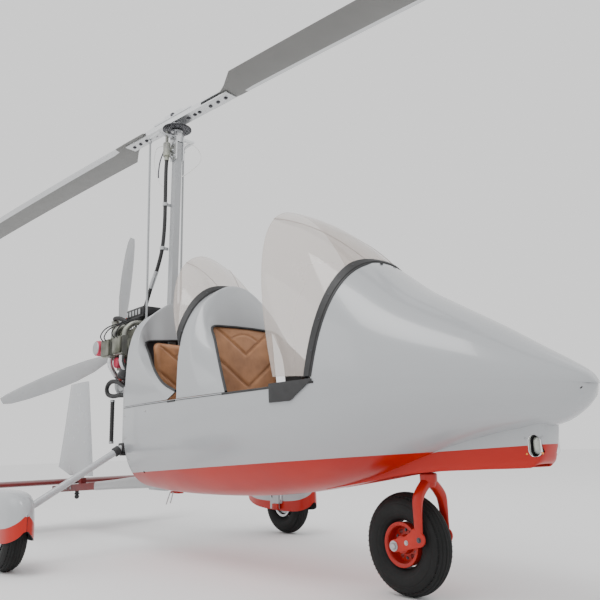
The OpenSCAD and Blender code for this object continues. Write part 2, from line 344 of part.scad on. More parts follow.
// Wheel with its axis along Y at the origin: rim radius, rim width, number of lightening holes
module wheel(r, w, holes) {
  rotate([90, 0, 0]) difference() {
    rotate_extrude() polygon([[axle_d / 2 + 0.05, -40], [32, -40], [36, -12], [r - 16, -9], [r - 12, -w / 2 + 4], [r - 4, -w / 2], [r, -w / 2], [r, w / 2], [r - 4, w / 2], [r - 12, w / 2 - 4], [r - 16, 9], [36, 12], [32, 40], [axle_d / 2 + 0.05, 40]]);
    for (k = [1:holes]) rotate([0, 0, 360 / holes * k]) translate([(r + 20) / 2, 0, -30]) cylinder(d = r * 0.24, h = 60);
  }
}
module tyre(r, ri) { rotate([90, 0, 0]) rotate_extrude() difference() { translate([r - tyre_w / 2, 0]) circle(d = tyre_w); translate([0, -100]) square([ri, 200]); } }
module left_main_wheel() { color([0.8, 0.8, 0.82]) translate([axle_x, track / 2, main_r]) wheel(rim_r, 84, 5); }
module right_main_wheel() { color([0.8, 0.8, 0.82]) translate([axle_x, -track / 2, main_r]) wheel(rim_r, 84, 5); }
module left_main_tyre() { color([0.07, 0.07, 0.07]) translate([axle_x, track / 2, main_r]) tyre(main_r, rim_r); }
module right_main_tyre() { color([0.07, 0.07, 0.07]) translate([axle_x, -track / 2, main_r]) tyre(main_r, rim_r); }
module nose_wheel() { color([0.75, 0.12, 0.08]) translate([nose_x, 0, nose_r]) wheel(rim_r, 84, 6); }
module nose_tyre() { color([0.07, 0.07, 0.07]) translate([nose_x, 0, nose_r]) tyre(nose_r, rim_r); }
module nose_fork() {
  color([0.78, 0.13, 0.08]) difference() {
    union() {
      translate([steer_x, 0, 425]) cylinder(d = 38, h = 172);
      translate([steer_x, 0, 425]) cylinder(d = 58, h = 22);
      for (s = [-1, 1]) {
        hull() { translate([steer_x, s * 12, 424]) sphere(d = 40, $fn = 24); translate([steer_x, s * 68, 372]) sphere(d = 32, $fn = 24); }
        hull() { translate([steer_x, s * 68, 372]) sphere(d = 32, $fn = 24); translate([steer_x + 2, s * 79, 232]) rotate([90, 0, 0]) cylinder(d = 34, h = 14, center = true); }
        hull() { translate([steer_x + 2, s * 81, 222]) rotate([90, 0, 0]) cylinder(d = 50, h = 9, center = true); translate([nose_x, s * 81, nose_r]) rotate([90, 0, 0]) cylinder(d = 46, h = 9, center = true); }
      }
      translate([nose_x, 96, nose_r]) rotate([90, 0, 0]) cylinder(d = axle_d, h = 192);
    }
    translate([nose_x, 110, nose_r]) rotate([90, 0, 0]) cylinder(d = tow_d, h = 220);
  }
}

belly_pan();
hull_side_left();
hull_side_right();
front_cowl();
nose_cap();
nose_keel_box();
nose_light_tube();
mid_fairing();
rear_fairing();
firewall();
cabin_floor();
instrument_panel();
cabin_controls();
seat_boxes();
front_seat_cushion();
front_seat_back();
rear_seat_cushion();
rear_seat_back();
front_windshield();
rear_windshield();
keel_beam();
tail_boom();
tail_boom_end();
tail_skid();
stabilizer();
side_fins();
rudder();
mast();
mast_head();
rotor_head();
prerotator_drive();
prerotator_shaft();
control_rods();
rotor_spindle();
ring_gear();
rotor_hub_bar();
rotor_blades();
engine_block();
engine_cylinders();
engine_mount();
gearbox();
air_filters();
exhaust();
radiator();
cooling_hoses();
propeller_hub();
propeller_blades();
gear_legs();
main_axles();
wheel_spats();
left_main_wheel();
left_main_tyre();
right_main_wheel();
right_main_tyre();
nose_fork();
nose_wheel();
nose_tyre();
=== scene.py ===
import bpy
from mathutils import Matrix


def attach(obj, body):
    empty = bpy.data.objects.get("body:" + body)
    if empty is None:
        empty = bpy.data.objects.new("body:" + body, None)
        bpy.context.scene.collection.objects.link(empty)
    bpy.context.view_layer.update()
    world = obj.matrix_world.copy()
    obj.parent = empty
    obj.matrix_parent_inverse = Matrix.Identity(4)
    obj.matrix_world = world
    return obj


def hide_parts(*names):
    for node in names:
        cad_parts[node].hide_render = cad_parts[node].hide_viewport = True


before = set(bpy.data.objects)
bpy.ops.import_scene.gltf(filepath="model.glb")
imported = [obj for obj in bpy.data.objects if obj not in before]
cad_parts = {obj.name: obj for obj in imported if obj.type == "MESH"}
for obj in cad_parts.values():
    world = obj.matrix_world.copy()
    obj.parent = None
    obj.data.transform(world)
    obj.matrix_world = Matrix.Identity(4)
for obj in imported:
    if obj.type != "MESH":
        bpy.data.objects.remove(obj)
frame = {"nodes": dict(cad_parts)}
import bpy, bmesh, math, random
import numpy as np
from mathutils import Vector, Matrix

random.seed(7)
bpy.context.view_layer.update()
DEG = math.pi / 180
V = lambda *a: np.array(a, float)
sin = lambda d: math.sin(d * DEG)
cos = lambda d: math.cos(d * DEG)

# ---- camera -------------------------------------------------------------------
A, PITCH, ROLL = 49.08 * DEG, 12.175 * DEG, -1.573 * DEG
right = Vector((math.cos(A), math.sin(A), 0)); fwd = Vector((-math.sin(A), math.cos(A), 0)); up = Vector((0, 0, 1))
f2 = fwd * math.cos(PITCH) + up * math.sin(PITCH); u2 = up * math.cos(PITCH) - fwd * math.sin(PITCH)
r3 = right * math.cos(ROLL) + u2 * math.sin(ROLL); u3 = u2 * math.cos(ROLL) - right * math.sin(ROLL)
cam = bpy.data.objects.new("camera", bpy.data.cameras.new("camera"))
bpy.context.scene.collection.objects.link(cam)
cam.matrix_world = Matrix(((r3.x, u3.x, -f2.x, 3.588), (r3.y, u3.y, -f2.y, -2.080), (r3.z, u3.z, -f2.z, 0.575), (0, 0, 0, 1)))
cam.data.lens = 40.2; cam.data.sensor_width = 36; cam.data.clip_end = 100
bpy.context.scene.camera = cam

# ---- materials ------------------------------------------------------------------
def mat(name, base, rough=0.4, metal=0.0, coat=0.0, vary=0.04, scale=6.0, bump=0.0, bscale=400.0, rvar=0.08, dirt=None, alpha=1.0, second=None, sheen=0.0, spec=None, stretch=(1, 1, 1), trans=0.0, grime=0.0):
    """Colour with slow variation, roughness variation and fine bump, all by object position."""
    m = bpy.data.materials.new(name); m.use_nodes = True
    n, l = m.node_tree.nodes, m.node_tree.links
    b = n["Principled BSDF"]
    tc = n.new("ShaderNodeTexCoord"); mp = n.new("ShaderNodeMapping"); mp.inputs["Scale"].default_value = stretch
    l.new(tc.outputs["Object"], mp.inputs["Vector"])
    no = n.new("ShaderNodeTexNoise"); no.inputs["Scale"].default_value = scale; no.inputs["Detail"].default_value = 6
    l.new(mp.outputs["Vector"], no.inputs["Vector"])
    cr = n.new("ShaderNodeValToRGB")
    c0 = [max(0, c * (1 - vary)) for c in base]; c1 = [min(1, c * (1 + vary)) for c in (second or base)]
    cr.color_ramp.elements[0].position = 0.3; cr.color_ramp.elements[1].position = 0.7
    cr.color_ramp.elements[0].color = (*c0, 1); cr.color_ramp.elements[1].color = (*c1, 1)
    l.new(no.outputs["Fac"], cr.inputs["Fac"])
    col = cr.outputs["Color"]
    if grime:
        g = n.new("ShaderNodeTexNoise"); g.inputs["Scale"].default_value = 2.3; g.inputs["Detail"].default_value = 10; g.inputs["Roughness"].default_value = 0.7
        l.new(mp.outputs["Vector"], g.inputs["Vector"])
        gr = n.new("ShaderNodeMapRange"); gr.inputs["From Min"].default_value = 0.52; gr.inputs["From Max"].default_value = 0.8; gr.inputs["To Max"].default_value = grime
        l.new(g.outputs["Fac"], gr.inputs["Value"])
        mx = n.new("ShaderNodeMixRGB"); mx.inputs["Color2"].default_value = (*(dirt or (0.25, 0.22, 0.18)), 1)
        l.new(gr.outputs["Result"], mx.inputs["Fac"]); l.new(col, mx.inputs["Color1"]); col = mx.outputs["Color"]
    l.new(col, b.inputs["Base Color"])
    r = n.new("ShaderNodeMapRange"); r.inputs["To Min"].default_value = max(0.02, rough - rvar); r.inputs["To Max"].default_value = min(1, rough + rvar)
    rn = n.new("ShaderNodeTexNoise"); rn.inputs["Scale"].default_value = scale * 5; rn.inputs["Detail"].default_value = 4
    l.new(mp.outputs["Vector"], rn.inputs["Vector"]); l.new(rn.outputs["Fac"], r.inputs["Value"]); l.new(r.outputs["Result"], b.inputs["Roughness"])
    b.inputs["Metallic"].default_value = metal
    b.inputs["Coat Weight"].default_value = coat; b.inputs["Coat Roughness"].default_value = 0.06
    if sheen: b.inputs["Sheen Weight"].default_value = sheen
    if spec is not None: b.inputs["Specular IOR Level"].default_value = spec
    if trans: b.inputs["Transmission Weight"].default_value = trans
    b.inputs["Alpha"].default_value = alpha
    if bump:
        bn = n.new("ShaderNodeTexNoise"); bn.inputs["Scale"].default_value = bscale; bn.inputs["Detail"].default_value = 5
        l.new(mp.outputs["Vector"], bn.inputs["Vector"])
        bp = n.new("ShaderNodeBump"); bp.inputs["Strength"].default_value = bump; bp.inputs["Distance"].default_value = 0.002
        l.new(bn.outputs["Fac"], bp.inputs["Height"]); l.new(bp.outputs["Normal"], b.inputs["Normal"])
    return m

def leather(name, base, second):
    m = mat(name, base, 0.5, vary=0.1, scale=14, second=second, sheen=0.15, rvar=0.1)
    n, l = m.node_tree.nodes, m.node_tree.links
    b = n["Principled BSDF"]; tc = n["Texture Coordinate"]
    vo = n.new("ShaderNodeTexVoronoi"); vo.feature = "DISTANCE_TO_EDGE"; vo.inputs["Scale"].default_value = 420
    no = n.new("ShaderNodeTexNoise"); no.inputs["Scale"].default_value = 60; no.inputs["Detail"].default_value = 8
    l.new(tc.outputs["Object"], vo.inputs["Vector"]); l.new(tc.outputs["Object"], no.inputs["Vector"])
    ad = n.new("ShaderNodeMath"); ad.operation = "ADD"; l.new(vo.outputs["Distance"], ad.inputs[0]); l.new(no.outputs["Fac"], ad.inputs[1])
    bp = n.new("ShaderNodeBump"); bp.inputs["Strength"].default_value = 0.28; bp.inputs["Distance"].default_value = 0.002
    l.new(ad.outputs[0], bp.inputs["Height"]); l.new(bp.outputs["Normal"], b.inputs["Normal"])
    return m

WHITE = mat("white_gelcoat", (0.40, 0.413, 0.427), 0.24, coat=0.4, vary=0.012, scale=1.5, rvar=0.04, bump=0.012, bscale=30, grime=0.05, dirt=(0.42, 0.41, 0.4))
RED = mat("red_gelcoat", (0.40, 0.006, 0.001), 0.3, coat=0.1, spec=0.3, vary=0.06, scale=2.2, second=(0.46, 0.012, 0.002), rvar=0.05, bump=0.015, bscale=30, grime=0.1, dirt=(0.22, 0.05, 0.03))
REDP = mat("red_paint", (0.36, 0.006, 0.002), 0.34, coat=0.1, spec=0.35, vary=0.1, scale=9, second=(0.44, 0.014, 0.003), bump=0.03, bscale=220, grime=0.18, dirt=(0.25, 0.05, 0.025))
WPAINT = mat("white_paint", (0.46, 0.473, 0.487), 0.26, coat=0.45, vary=0.02, scale=3, rvar=0.05, bump=0.012, bscale=60, grime=0.08, dirt=(0.4, 0.39, 0.37))
GPAINT = mat("grey_paint", (0.36, 0.37, 0.38), 0.35, coat=0.3, vary=0.03, scale=4, bump=0.02, bscale=160, grime=0.12, dirt=(0.25, 0.24, 0.23))
STEEL = mat("grey_steel", (0.45, 0.46, 0.47), 0.36, 0.75, vary=0.06, scale=10, bump=0.03, bscale=300, stretch=(1, 1, 0.2))
DSTEEL = mat("dark_steel", (0.09, 0.09, 0.1), 0.42, 0.7, vary=0.15, scale=14, bump=0.04, bscale=260)
ALU = mat("sheet_aluminium", (0.68, 0.69, 0.7), 0.3, 0.9, vary=0.05, scale=12, bump=0.02, bscale=320, stretch=(0.15, 1, 1))
CAST = mat("cast_metal", (0.3, 0.3, 0.285), 0.46, 0.8, vary=0.12, scale=18, second=(0.36, 0.37, 0.31), bump=0.25, bscale=240, grime=0.3, dirt=(0.1, 0.1, 0.08))
CHROME = mat("chrome_trim", (0.8, 0.8, 0.81), 0.1, 1.0, vary=0.03, scale=8, rvar=0.04)
DARK = mat("dark_interior", (0.02, 0.021, 0.022), 0.75, vary=0.2, scale=40, bump=0.2, bscale=600)
INNER = mat("inner_gelcoat", (0.026, 0.027, 0.029), 0.6, vary=0.15, scale=20, bump=0.12, bscale=200)
BLACK = mat("black_plastic", (0.018, 0.018, 0.02), 0.36, vary=0.2, scale=20, bump=0.06, bscale=300)
RUBBER = mat("black_rubber", (0.02, 0.02, 0.021), 0.52, vary=0.2, scale=25, bump=0.08, bscale=380, grime=0.2, dirt=(0.06, 0.055, 0.05))
TYRE = mat("tyre_black", (0.008, 0.0085, 0.0085), 0.66, spec=0.3, vary=0.2, scale=16, bump=0.14, bscale=420, grime=0.3, dirt=(0.055, 0.05, 0.045))
TAN = leather("tan_leather", (0.38, 0.17, 0.072), (0.46, 0.215, 0.095))
SEAMT = mat("seam_thread", (0.27, 0.13, 0.06), 0.8, vary=0.15, scale=60)
BLADE_M = mat("blade_grey", (0.2, 0.2, 0.194), 0.42, 0.25, vary=0.05, scale=3, bump=0.02, bscale=90, grime=0.12, dirt=(0.2, 0.195, 0.18))
PROPM = mat("propeller_white", (0.42, 0.43, 0.44), 0.3, coat=0.4, vary=0.03, scale=8, bump=0.02, bscale=120, grime=0.2, dirt=(0.4, 0.39, 0.37))
FILTER = mat("red_filter", (0.5, 0.03, 0.075), 0.5, vary=0.2, scale=30, second=(0.6, 0.05, 0.1), bump=0.25, bscale=500)
RADM = mat("radiator_black", (0.05, 0.052, 0.055), 0.5, 0.4, vary=0.2, scale=30, bump=0.3, bscale=300)
OLIVE = mat("engine_casting", (0.1, 0.105, 0.07), 0.5, 0.6, vary=0.25, scale=16, second=(0.2, 0.2, 0.17), bump=0.3, bscale=200, grime=0.35, dirt=(0.05, 0.05, 0.04))
DRED = mat("dark_red", (0.13, 0.004, 0.004), 0.4, coat=0.05, spec=0.3, vary=0.15, scale=10, bump=0.02, bscale=90)
GREYF = mat("grey_fairing", (0.36, 0.365, 0.37), 0.34, coat=0.3, vary=0.03, scale=5, bump=0.02, bscale=120, grime=0.15, dirt=(0.2, 0.19, 0.18))
DIAL = mat("dial_face", (0.02, 0.02, 0.022), 0.3, vary=0.1, scale=30)
TICK = mat("dial_marks", (0.8, 0.8, 0.78), 0.5, vary=0.02, scale=30)
LENS = mat("lamp_lens", (0.3, 0.33, 0.3), 0.12, 0.5, coat=1.0, vary=0.2, scale=25, second=(0.5, 0.52, 0.46), bump=0.2, bscale=150)
AMBER = mat("amber_spot", (0.75, 0.3, 0.05), 0.3, vary=0.15, scale=30)
CABLE = mat("white_cable", (0.75, 0.75, 0.74), 0.5, vary=0.05, scale=30)
SCREEN = mat("tinted_screen", (0.60, 0.53, 0.48), 0.07, coat=0.5, vary=0.02, scale=2, rvar=0.02, alpha=0.42)
SCREEN_LINE = mat("screen_crease", (0.45, 0.39, 0.36), 0.2, vary=0.03, scale=4, alpha=0.55)

# ---- geometry helpers (millimetres in, metres out) ---------------------------------
def link(name, verts, faces, mats, idx=None, angle=38, smooth=True):
    me = bpy.data.meshes.new(name)
    me.from_pydata([tuple(float(c) * 0.001 for c in v) for v in verts], [], [tuple(int(i) for i in f) for f in faces])
    for m in mats: me.materials.append(m)
    if idx is not None: me.polygons.foreach_set("material_index", [int(i) for i in idx])
    bm = bmesh.new(); bm.from_mesh(me)
    bmesh.ops.recalc_face_normals(bm, faces=bm.faces)
    for f in bm.faces: f.smooth = smooth
    for e in bm.edges:
        if len(e.link_faces) == 2 and e.calc_face_angle(0) > angle * DEG: e.smooth = False
    bm.to_mesh(me); bm.free()
    o = bpy.data.objects.new(name, me); bpy.context.scene.collection.objects.link(o)
    return o

def unit(v):
    return v / max(np.linalg.norm(v), 1e-9)

def catmull(P, n=8):
    P = [np.array(p, float) for p in P]; out = []
    for k in range(len(P) - 1):
        p0 = P[k - 1] if k else 2 * P[0] - P[1]; p1, p2 = P[k], P[k + 1]; p3 = P[k + 2] if k + 2 < len(P) else 2 * P[-1] - P[-2]
        for i in range(n):
            s = i / n
            out.append(0.5 * (2 * p1 + (p2 - p0) * s + (2 * p0 - 5 * p1 + 4 * p2 - p3) * s * s + (3 * p1 - p0 - 3 * p2 + p3) * s ** 3))
    out.append(P[-1]); return out

class Bag:
    def __init__(self): self.v, self.f, self.m = [], [], []
    def add(self, v, f, mi=0, T=None):
        o = len(self.v)
        for p in v: self.v.append(T(np.array(p, float)) if T else np.array(p, float))
        for q in f: self.f.append(tuple(i + o for i in q)); self.m.append(mi)
        return self
    def sheet(self, G, t, s=1, mi=0, mi_in=None, rows=None):
        """Even sheet of thickness t under the grid G; rows(i, j) may give a face's material."""
        G = np.array(G, float); m, n = G.shape[:2]
        di = np.empty_like(G); dj = np.empty_like(G)
        di[1:-1] = G[2:] - G[:-2]; di[0] = G[1] - G[0]; di[-1] = G[-1] - G[-2]
        dj[:, 1:-1] = G[:, 2:] - G[:, :-2]; dj[:, 0] = G[:, 1] - G[:, 0]; dj[:, -1] = G[:, -1] - G[:, -2]
        N = np.cross(di, dj); N /= np.maximum(np.linalg.norm(N, axis=2), 1e-9)[..., None]
        B = G - s * t * N; o = len(self.v)
        self.v += list(G.reshape(-1, 3)) + list(B.reshape(-1, 3)); q = m * n
        mi_in = mi if mi_in is None else mi_in
        for i in range(m - 1):
            for j in range(n - 1):
                a, b, c, d = i * n + j, i * n + j + 1, (i + 1) * n + j + 1, (i + 1) * n + j
                self.f.append((o + a, o + d, o + c, o + b)); self.m.append(rows(i, j) if rows else mi)
                self.f.append((o + q + a, o + q + b, o + q + c, o + q + d)); self.m.append(mi_in)
        rim = [j for j in range(n - 1)] + [i * n + n - 1 for i in range(m - 1)] + [(m - 1) * n + j for j in range(n - 1, 0, -1)] + [i * n for i in range(m - 1, 0, -1)]
        for k in range(len(rim)):
            a, b = rim[k], rim[(k + 1) % len(rim)]
            self.f.append((o + a, o + b, o + b + q, o + a + q)); self.m.append(mi_in)
        return self
    def skin(self, R, mi=0, rows=None, cap=True):
        n = len(R[0]); o = len(self.v)
        for r in R: self.v += [np.array(p, float) for p in r]
        for i in range(len(R) - 1):
            for j in range(n):
                self.f.append((o + i * n + j, o + i * n + (j + 1) % n, o + (i + 1) * n + (j + 1) % n, o + (i + 1) * n + j)); self.m.append(rows(i, j) if rows else mi)
        if cap:
            self.f.append(tuple(o + j for j in range(n - 1, -1, -1))); self.m.append(mi)
            self.f.append(tuple(o + (len(R) - 1) * n + j for j in range(n))); self.m.append(mi)
        return self
    def tube(self, P, r, mi=0, n=12, steps=8, smooth=True, ribs=0):
        P = catmull(P, steps) if smooth else [np.array(p, float) for p in P]
        R, u = [], None
        for i, p in enumerate(P):
            t = unit(P[min(i + 1, len(P) - 1)] - P[max(i - 1, 0)])
            if u is None: u = unit(np.cross(t, V(0.13, 0.31, 0.94) if abs(t[2]) < 0.9 else V(1, 0.1, 0)))
            u = unit(u - t * np.dot(u, t)); w = np.cross(t, u)
            rr = r(i / (len(P) - 1)) if callable(r) else r
            if ribs: rr = rr * (1 + 0.09 * math.cos(math.pi * i))
            R.append([p + rr * (math.cos(2 * math.pi * k / n) * u + math.sin(2 * math.pi * k / n) * w) for k in range(n)])
        return self.skin(R, mi)
    def rod(self, a, b, r, mi=0, n=20, ch=None):
        a, b = np.array(a, float), np.array(b, float); L = np.linalg.norm(b - a); ch = min(r * 0.15, L * 0.2) if ch is None else ch
        return self.lathe([(0, 0), (r - ch, 0), (r, ch), (r, L - ch), (r - ch, L), (0, L)], a, b - a, mi, n)
    def lathe(self, prof, c, axis, mi=0, n=48, rows=None):
        """Profile of (radius, distance along the axis) turned about the axis from c."""
        t = unit(np.array(axis, float)); u = unit(np.cross(t, V(0.1, 0.3, 0.9) if abs(t[2]) < 0.9 else V(1, 0.1, 0))); w = np.cross(t, u); c = np.array(c, float)
        o = len(self.v); m = len(prof)
        for (r, h) in prof:
            self.v += [c + t * h + r * (math.cos(2 * math.pi * k / n) * u + math.sin(2 * math.pi * k / n) * w) for k in range(n)]
        for i in range(m - 1):
            for k in range(n):
                self.f.append((o + i * n + k, o + i * n + (k + 1) % n, o + (i + 1) * n + (k + 1) % n, o + (i + 1) * n + k)); self.m.append(rows(i) if rows else mi)
        return self
    def box(self, lo, hi, mi=0, b=2.0, T=None):
        """Box with chamfered edges."""
        lo, hi = np.minimum(lo, hi).astype(float), np.maximum(lo, hi).astype(float); b = min(b, *((hi - lo) * 0.4))
        bm = bmesh.new(); bmesh.ops.create_cube(bm, size=1)
        for v in bm.verts:
            for k in range(3): v.co[k] = lo[k] + (v.co[k] + 0.5) * (hi[k] - lo[k])
        bmesh.ops.bevel(bm, geom=list(bm.edges), offset=b, segments=2, profile=0.5, affect="EDGES")
        bm.verts.index_update()
        self.add([tuple(v.co) for v in bm.verts], [tuple(v.index for v in f.verts) for f in bm.faces], mi, T); bm.free(); return self
    def bolt(self, c, axis, r, h, mi=0, washer=True):
        c = np.array(c, float); t = unit(np.array(axis, float))
        if washer: self.lathe([(0, 0), (r * 1.5, 0), (r * 1.5, h * 0.25), (0, h * 0.25)], c, t, mi, 20)
        self.lathe([(0, h * 0.2), (r, h * 0.2), (r, h * 0.85), (r * 0.86, h), (0, h)], c, t, mi, 6); return self
    def screw(self, c, axis, r, h, mi=0):
        return self.lathe([(0, -h * 0.3), (r, -h * 0.3), (r, h * 0.4), (r * 0.8, h * 0.85), (r * 0.35, h), (r * 0.28, h * 0.55), (0, h * 0.55)], c, axis, mi, 14)
    def make(self, name, body, mats, nodes=(), slot=None, angle=38):
        o = link(name, self.v, self.f, mats, self.m, angle)
        bm = bmesh.new(); bm.from_mesh(o.data); bmesh.ops.dissolve_degenerate(bm, dist=1e-6, edges=bm.edges); bm.to_mesh(o.data); bm.free()
        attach(o, body)
        if nodes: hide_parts(*nodes)
        return o

# ---- the part's curves (as in its source) ----------------------------------------------
LOW = [[-40, 306, 352, 812, 3.0], [200, 338, 334, 812, 2.7], [600, 362, 330, 812, 2.5], [1000, 368, 343, 812, 2.4],
  [1355, 366, 378, 812, 2.4], [1640, 354, 428, 812, 2.3], [1800, 338, 472, 808, 2.2], [1950, 312, 518, 800, 2.1],
  [2100, 276, 556, 789, 2.0], [2250, 228, 586, 777, 2.0], [2380, 176, 604, 764, 2.0], [2480, 126, 624, 753, 2.0],
  [2550, 78, 664, 745, 2.0], [2588, 40, 703, 740, 2.0], [2600, 14, 726, 738, 2.0]]
TOP = [[1600, 1418, 2.2], [1746, 1313, 2.15], [1925, 1176, 2.1], [2065, 1091, 2.05], [2273, 974, 2.0], [2418, 883, 2.0],
  [2518, 821, 2.0], [2579, 778, 2.0], [2600, 748, 2.0]]
KEEL = [[1380, 382], [1600, 414], [1905, 458], [2200, 474], [2380, 481], [2436, 492]]
REAR_EDGE = [[632, 357, 852], [480, 342, 905], [330, 308, 985], [160, 255, 1100], [22, 200, 1190], [70, 100, 1200], [96, 0, 1204]]
FRONT_EDGE = [[1078, 360, 815], [990, 322, 905], [900, 282, 1000], [812, 242, 1095], [735, 205, 1175], [722, 100, 1188], [720, 0, 1190]]
MID_CREASE = [[863, 364, 815], [820, 360, 905], [764, 349, 1000], [708, 312, 1130], [672, 232, 1292], [664, 110, 1400], [664, 0, 1432]]
MID_REAR = [[640, 357, 815], [640, 354, 930], [636, 343, 1045], [626, 306, 1175], [616, 226, 1305], [612, 115, 1394], [612, 0, 1425]]
TAIL_EDGE = [[-32, 306, 815], [-26, 305, 930], [-18, 303, 1045], [-8, 292, 1170], [2, 246, 1290], [6, 130, 1380], [6, 0, 1405]]
TAIL_CREASE = [[560, 364, 815], [420, 358, 905], [260, 335, 1010], [90, 290, 1140], [34, 225, 1290], [66, 110, 1412], [80, 0, 1442]]
SPAT = [[-470, 14, 300, 222], [-430, 32, 338, 198], [-330, 58, 372, 172], [-200, 73, 388, 158], [-60, 77, 391, 151],
  [60, 76, 387, 150], [140, 66, 374, 155], [188, 48, 350, 168], [216, 28, 318, 186], [225, 12, 290, 205]]
BLADE = [[300, 78, 17], [400, 78, 17], [522, 138, 17], [545, 150, 22], [680, 1, 27], [1600, 1, 27], [2600, 1, 27], [3500, 1, 27], [4150, 1, 26], [4200, 0.97, 12]]
PROP = [[67, 52, 40, 48], [130, 74, 30, 44], [240, 112, 22, 37], [380, 126, 17, 30], [540, 116, 13, 25], [700, 94, 10, 21], [800, 70, 8, 19], [845, 42, 5, 18]]
DRIVE = [[-28, -58, 2398], [-31, -60, 2330], [-33, -60, 2220], [-34, -60, 2100], [-38, -60, 1960], [-62, -60, 1815], [-118, -60, 1700], [-190, -60, 1600], [-250, -60, 1505], [-300, -60, 1425], [-318, -60, 1350]]
LOOP = [[-184, -205, 935], [-240, -205, 952], [-330, -205, 986], [-425, -205, 996], [-482, -205, 968], [-472, -205, 924], [-400, -205, 904], [-310, -205, 903], [-250, -205, 900], [-184, -205, 900]]

def slope(T, c, k):
    a, b = max(k - 1, 0), min(k + 1, len(T) - 1); return (T[b][c] - T[a][c]) / (T[b][0] - T[a][0])
def at(T, c, x):
    n = len(T); k = 0 if x <= T[0][0] else n - 2 if x >= T[n - 1][0] else max(i for i in range(n - 1) if T[i][0] <= x)
    h = T[k + 1][0] - T[k][0]; s = (x - T[k][0]) / h; a, b = T[k][c], T[k + 1][c]; m, q = slope(T, c, k) * h, slope(T, c, k + 1) * h
    return a * (2 * s ** 3 - 3 * s * s + 1) + m * (s ** 3 - 2 * s * s + s) + b * (3 * s * s - 2 * s ** 3) + q * (s ** 3 - s * s)
def curve(P, u):
    n = len(P) - 1; q = min(max(u, 0) * n, n - 1e-6); k = int(q); s = q - k; p1, p2 = V(*P[k]), V(*P[k + 1])
    p0 = V(*P[k - 1]) if k else 2 * p1 - p2; p3 = V(*P[k + 2]) if k + 2 <= n else V(P[n - 1][0], -P[n - 1][1], P[n - 1][2])
    return 0.5 * (2 * p1 + (p2 - p0) * s + (2 * p0 - 5 * p1 + 4 * p2 - p3) * s * s + (3 * p1 - p0 - 3 * p2 + p3) * s ** 3)
def over(P, v):
    p = curve(P, 1 - abs(v)); return V(p[0], (-1 if v < 0 else 1) * p[1], p[2])
def tip(p):
    """Rounds the last 14 mm of the nose."""
    if p[0] > 2586:
        f = math.sqrt(max(0.0, 1 - ((p[0] - 2586) / 14.3) ** 2)); return V(p[0], p[1] * f, 738 + (p[2] - 738) * f)
    return p
def low(x, a):
    w, zb, zw, e = at(LOW, 1, x), at(LOW, 2, x), at(LOW, 3, x), 2 / at(LOW, 4, x)
    return tip(V(x, w * max(cos(a), 0) ** e, zw - (zw - zb) * max(sin(a), 0) ** e))
def low_angle(x, z):
    zb, zw = at(LOW, 2, x), at(LOW, 3, x); q = (zw - z) / (zw - zb)
    return 90 if q >= 1 else math.asin(max(q, 0) ** (at(LOW, 4, x) / 2)) / DEG
def low_at(x, z):
    return low(x, low_angle(x, z))
def belly(x): return 445 + 0.0452 * x
def top(x, a):
    w, zw, zt, e = at(LOW, 1, x), at(LOW, 3, x), at(TOP, 1, x), 2 / at(TOP, 2, x)
    return tip(V(x, w * max(cos(a), 0) ** e, zw + (zt - zw) * max(sin(a), 0) ** e))
def cowl_x(a): return 1640 + 106 * max(sin(a), 0) ** 0.8
def side(p, s): return V(p[0], s * p[1], p[2])
def lerp(a, b, t): return a + (b - a) * t
def smooth(a, b, x):
    t = min(max((x - a) / (b - a), 0), 1); return t * t * (3 - 2 * t)
def foil(t, k=18):
    h = lambda x: 5 * t * (0.2969 * math.sqrt(x) - 0.126 * x - 0.3516 * x * x + 0.2843 * x ** 3 - 0.1015 * x ** 4) + 0.0025 * x
    xs = [(1 - math.cos(math.pi * i / k)) / 2 for i in range(k + 1)]
    return [(x, h(x)) for x in xs] + [(xs[i], -h(xs[i]) - (0.001 if i == k else 0)) for i in range(k, 0, -1)]

# ---- body shells ------------------------------------------------------------------------
def nose_x(u, a, b, p=0.8):
    """Stations that crowd towards the nose."""
    return a + (b - a) * u ** p
def crease_a(x):
    """Angle of the hood's character line at station x."""
    return 90 - 14 - 15 * smooth(1700, 2050, x) - 4 * smooth(2050, 2300, x)
def hood(x, a):
    """Upper nose with its raised centre panel, which dies out towards the tip."""
    p = top(x, a); d = a - crease_a(x); fade = smooth(1700, 1790, x) * (1 - smooth(1980, 2350, x))
    h = 7.5 * smooth(-3.2, 3.2, d) * fade
    return V(p[0], p[1] * (1 + h / 420), p[2] + h)
for s, nm in ((1, "left"), (-1, "right")):
    g = [[side(low(x, lerp(min(low_angle(x, belly(x)), 90), 0.0, j / 26)), s) for j in range(27)] for x in [nose_x(i / 90, -38, 2599.5) for i in range(91)]]
    Bag().sheet(g, 6, -s, 0, 1).make("hull_side_" + nm + "_shell", "airframe", [WHITE, INNER], ["hull_side_" + nm], "white_gelcoat")
g = [[side(low(x, 90 - (90 - low_angle(x, belly(x))) * (abs(j) / 16) ** 1.3), -1 if j < 0 else 1) for j in range(-16, 17)] for x in [lerp(-38, 1998, i / 60) for i in range(61)]]
Bag().sheet(g, 6, -1, 0, 1).make("belly_shell", "airframe", [RED, INNER], ["belly_pan"], "red_gelcoat")
g = []
for i in range(81):
    row = []
    for j in range(-44, 45):
        a = 90 - 90 * abs(j) / 44; x0 = cowl_x(a); x = lerp(x0, 2599.5, (i / 80) ** 0.85)
        row.append(side(hood(x, a), -1 if j < 0 else 1))
    g.append(row)
b = Bag().sheet(g, 6, 1, 0, 1); R = []
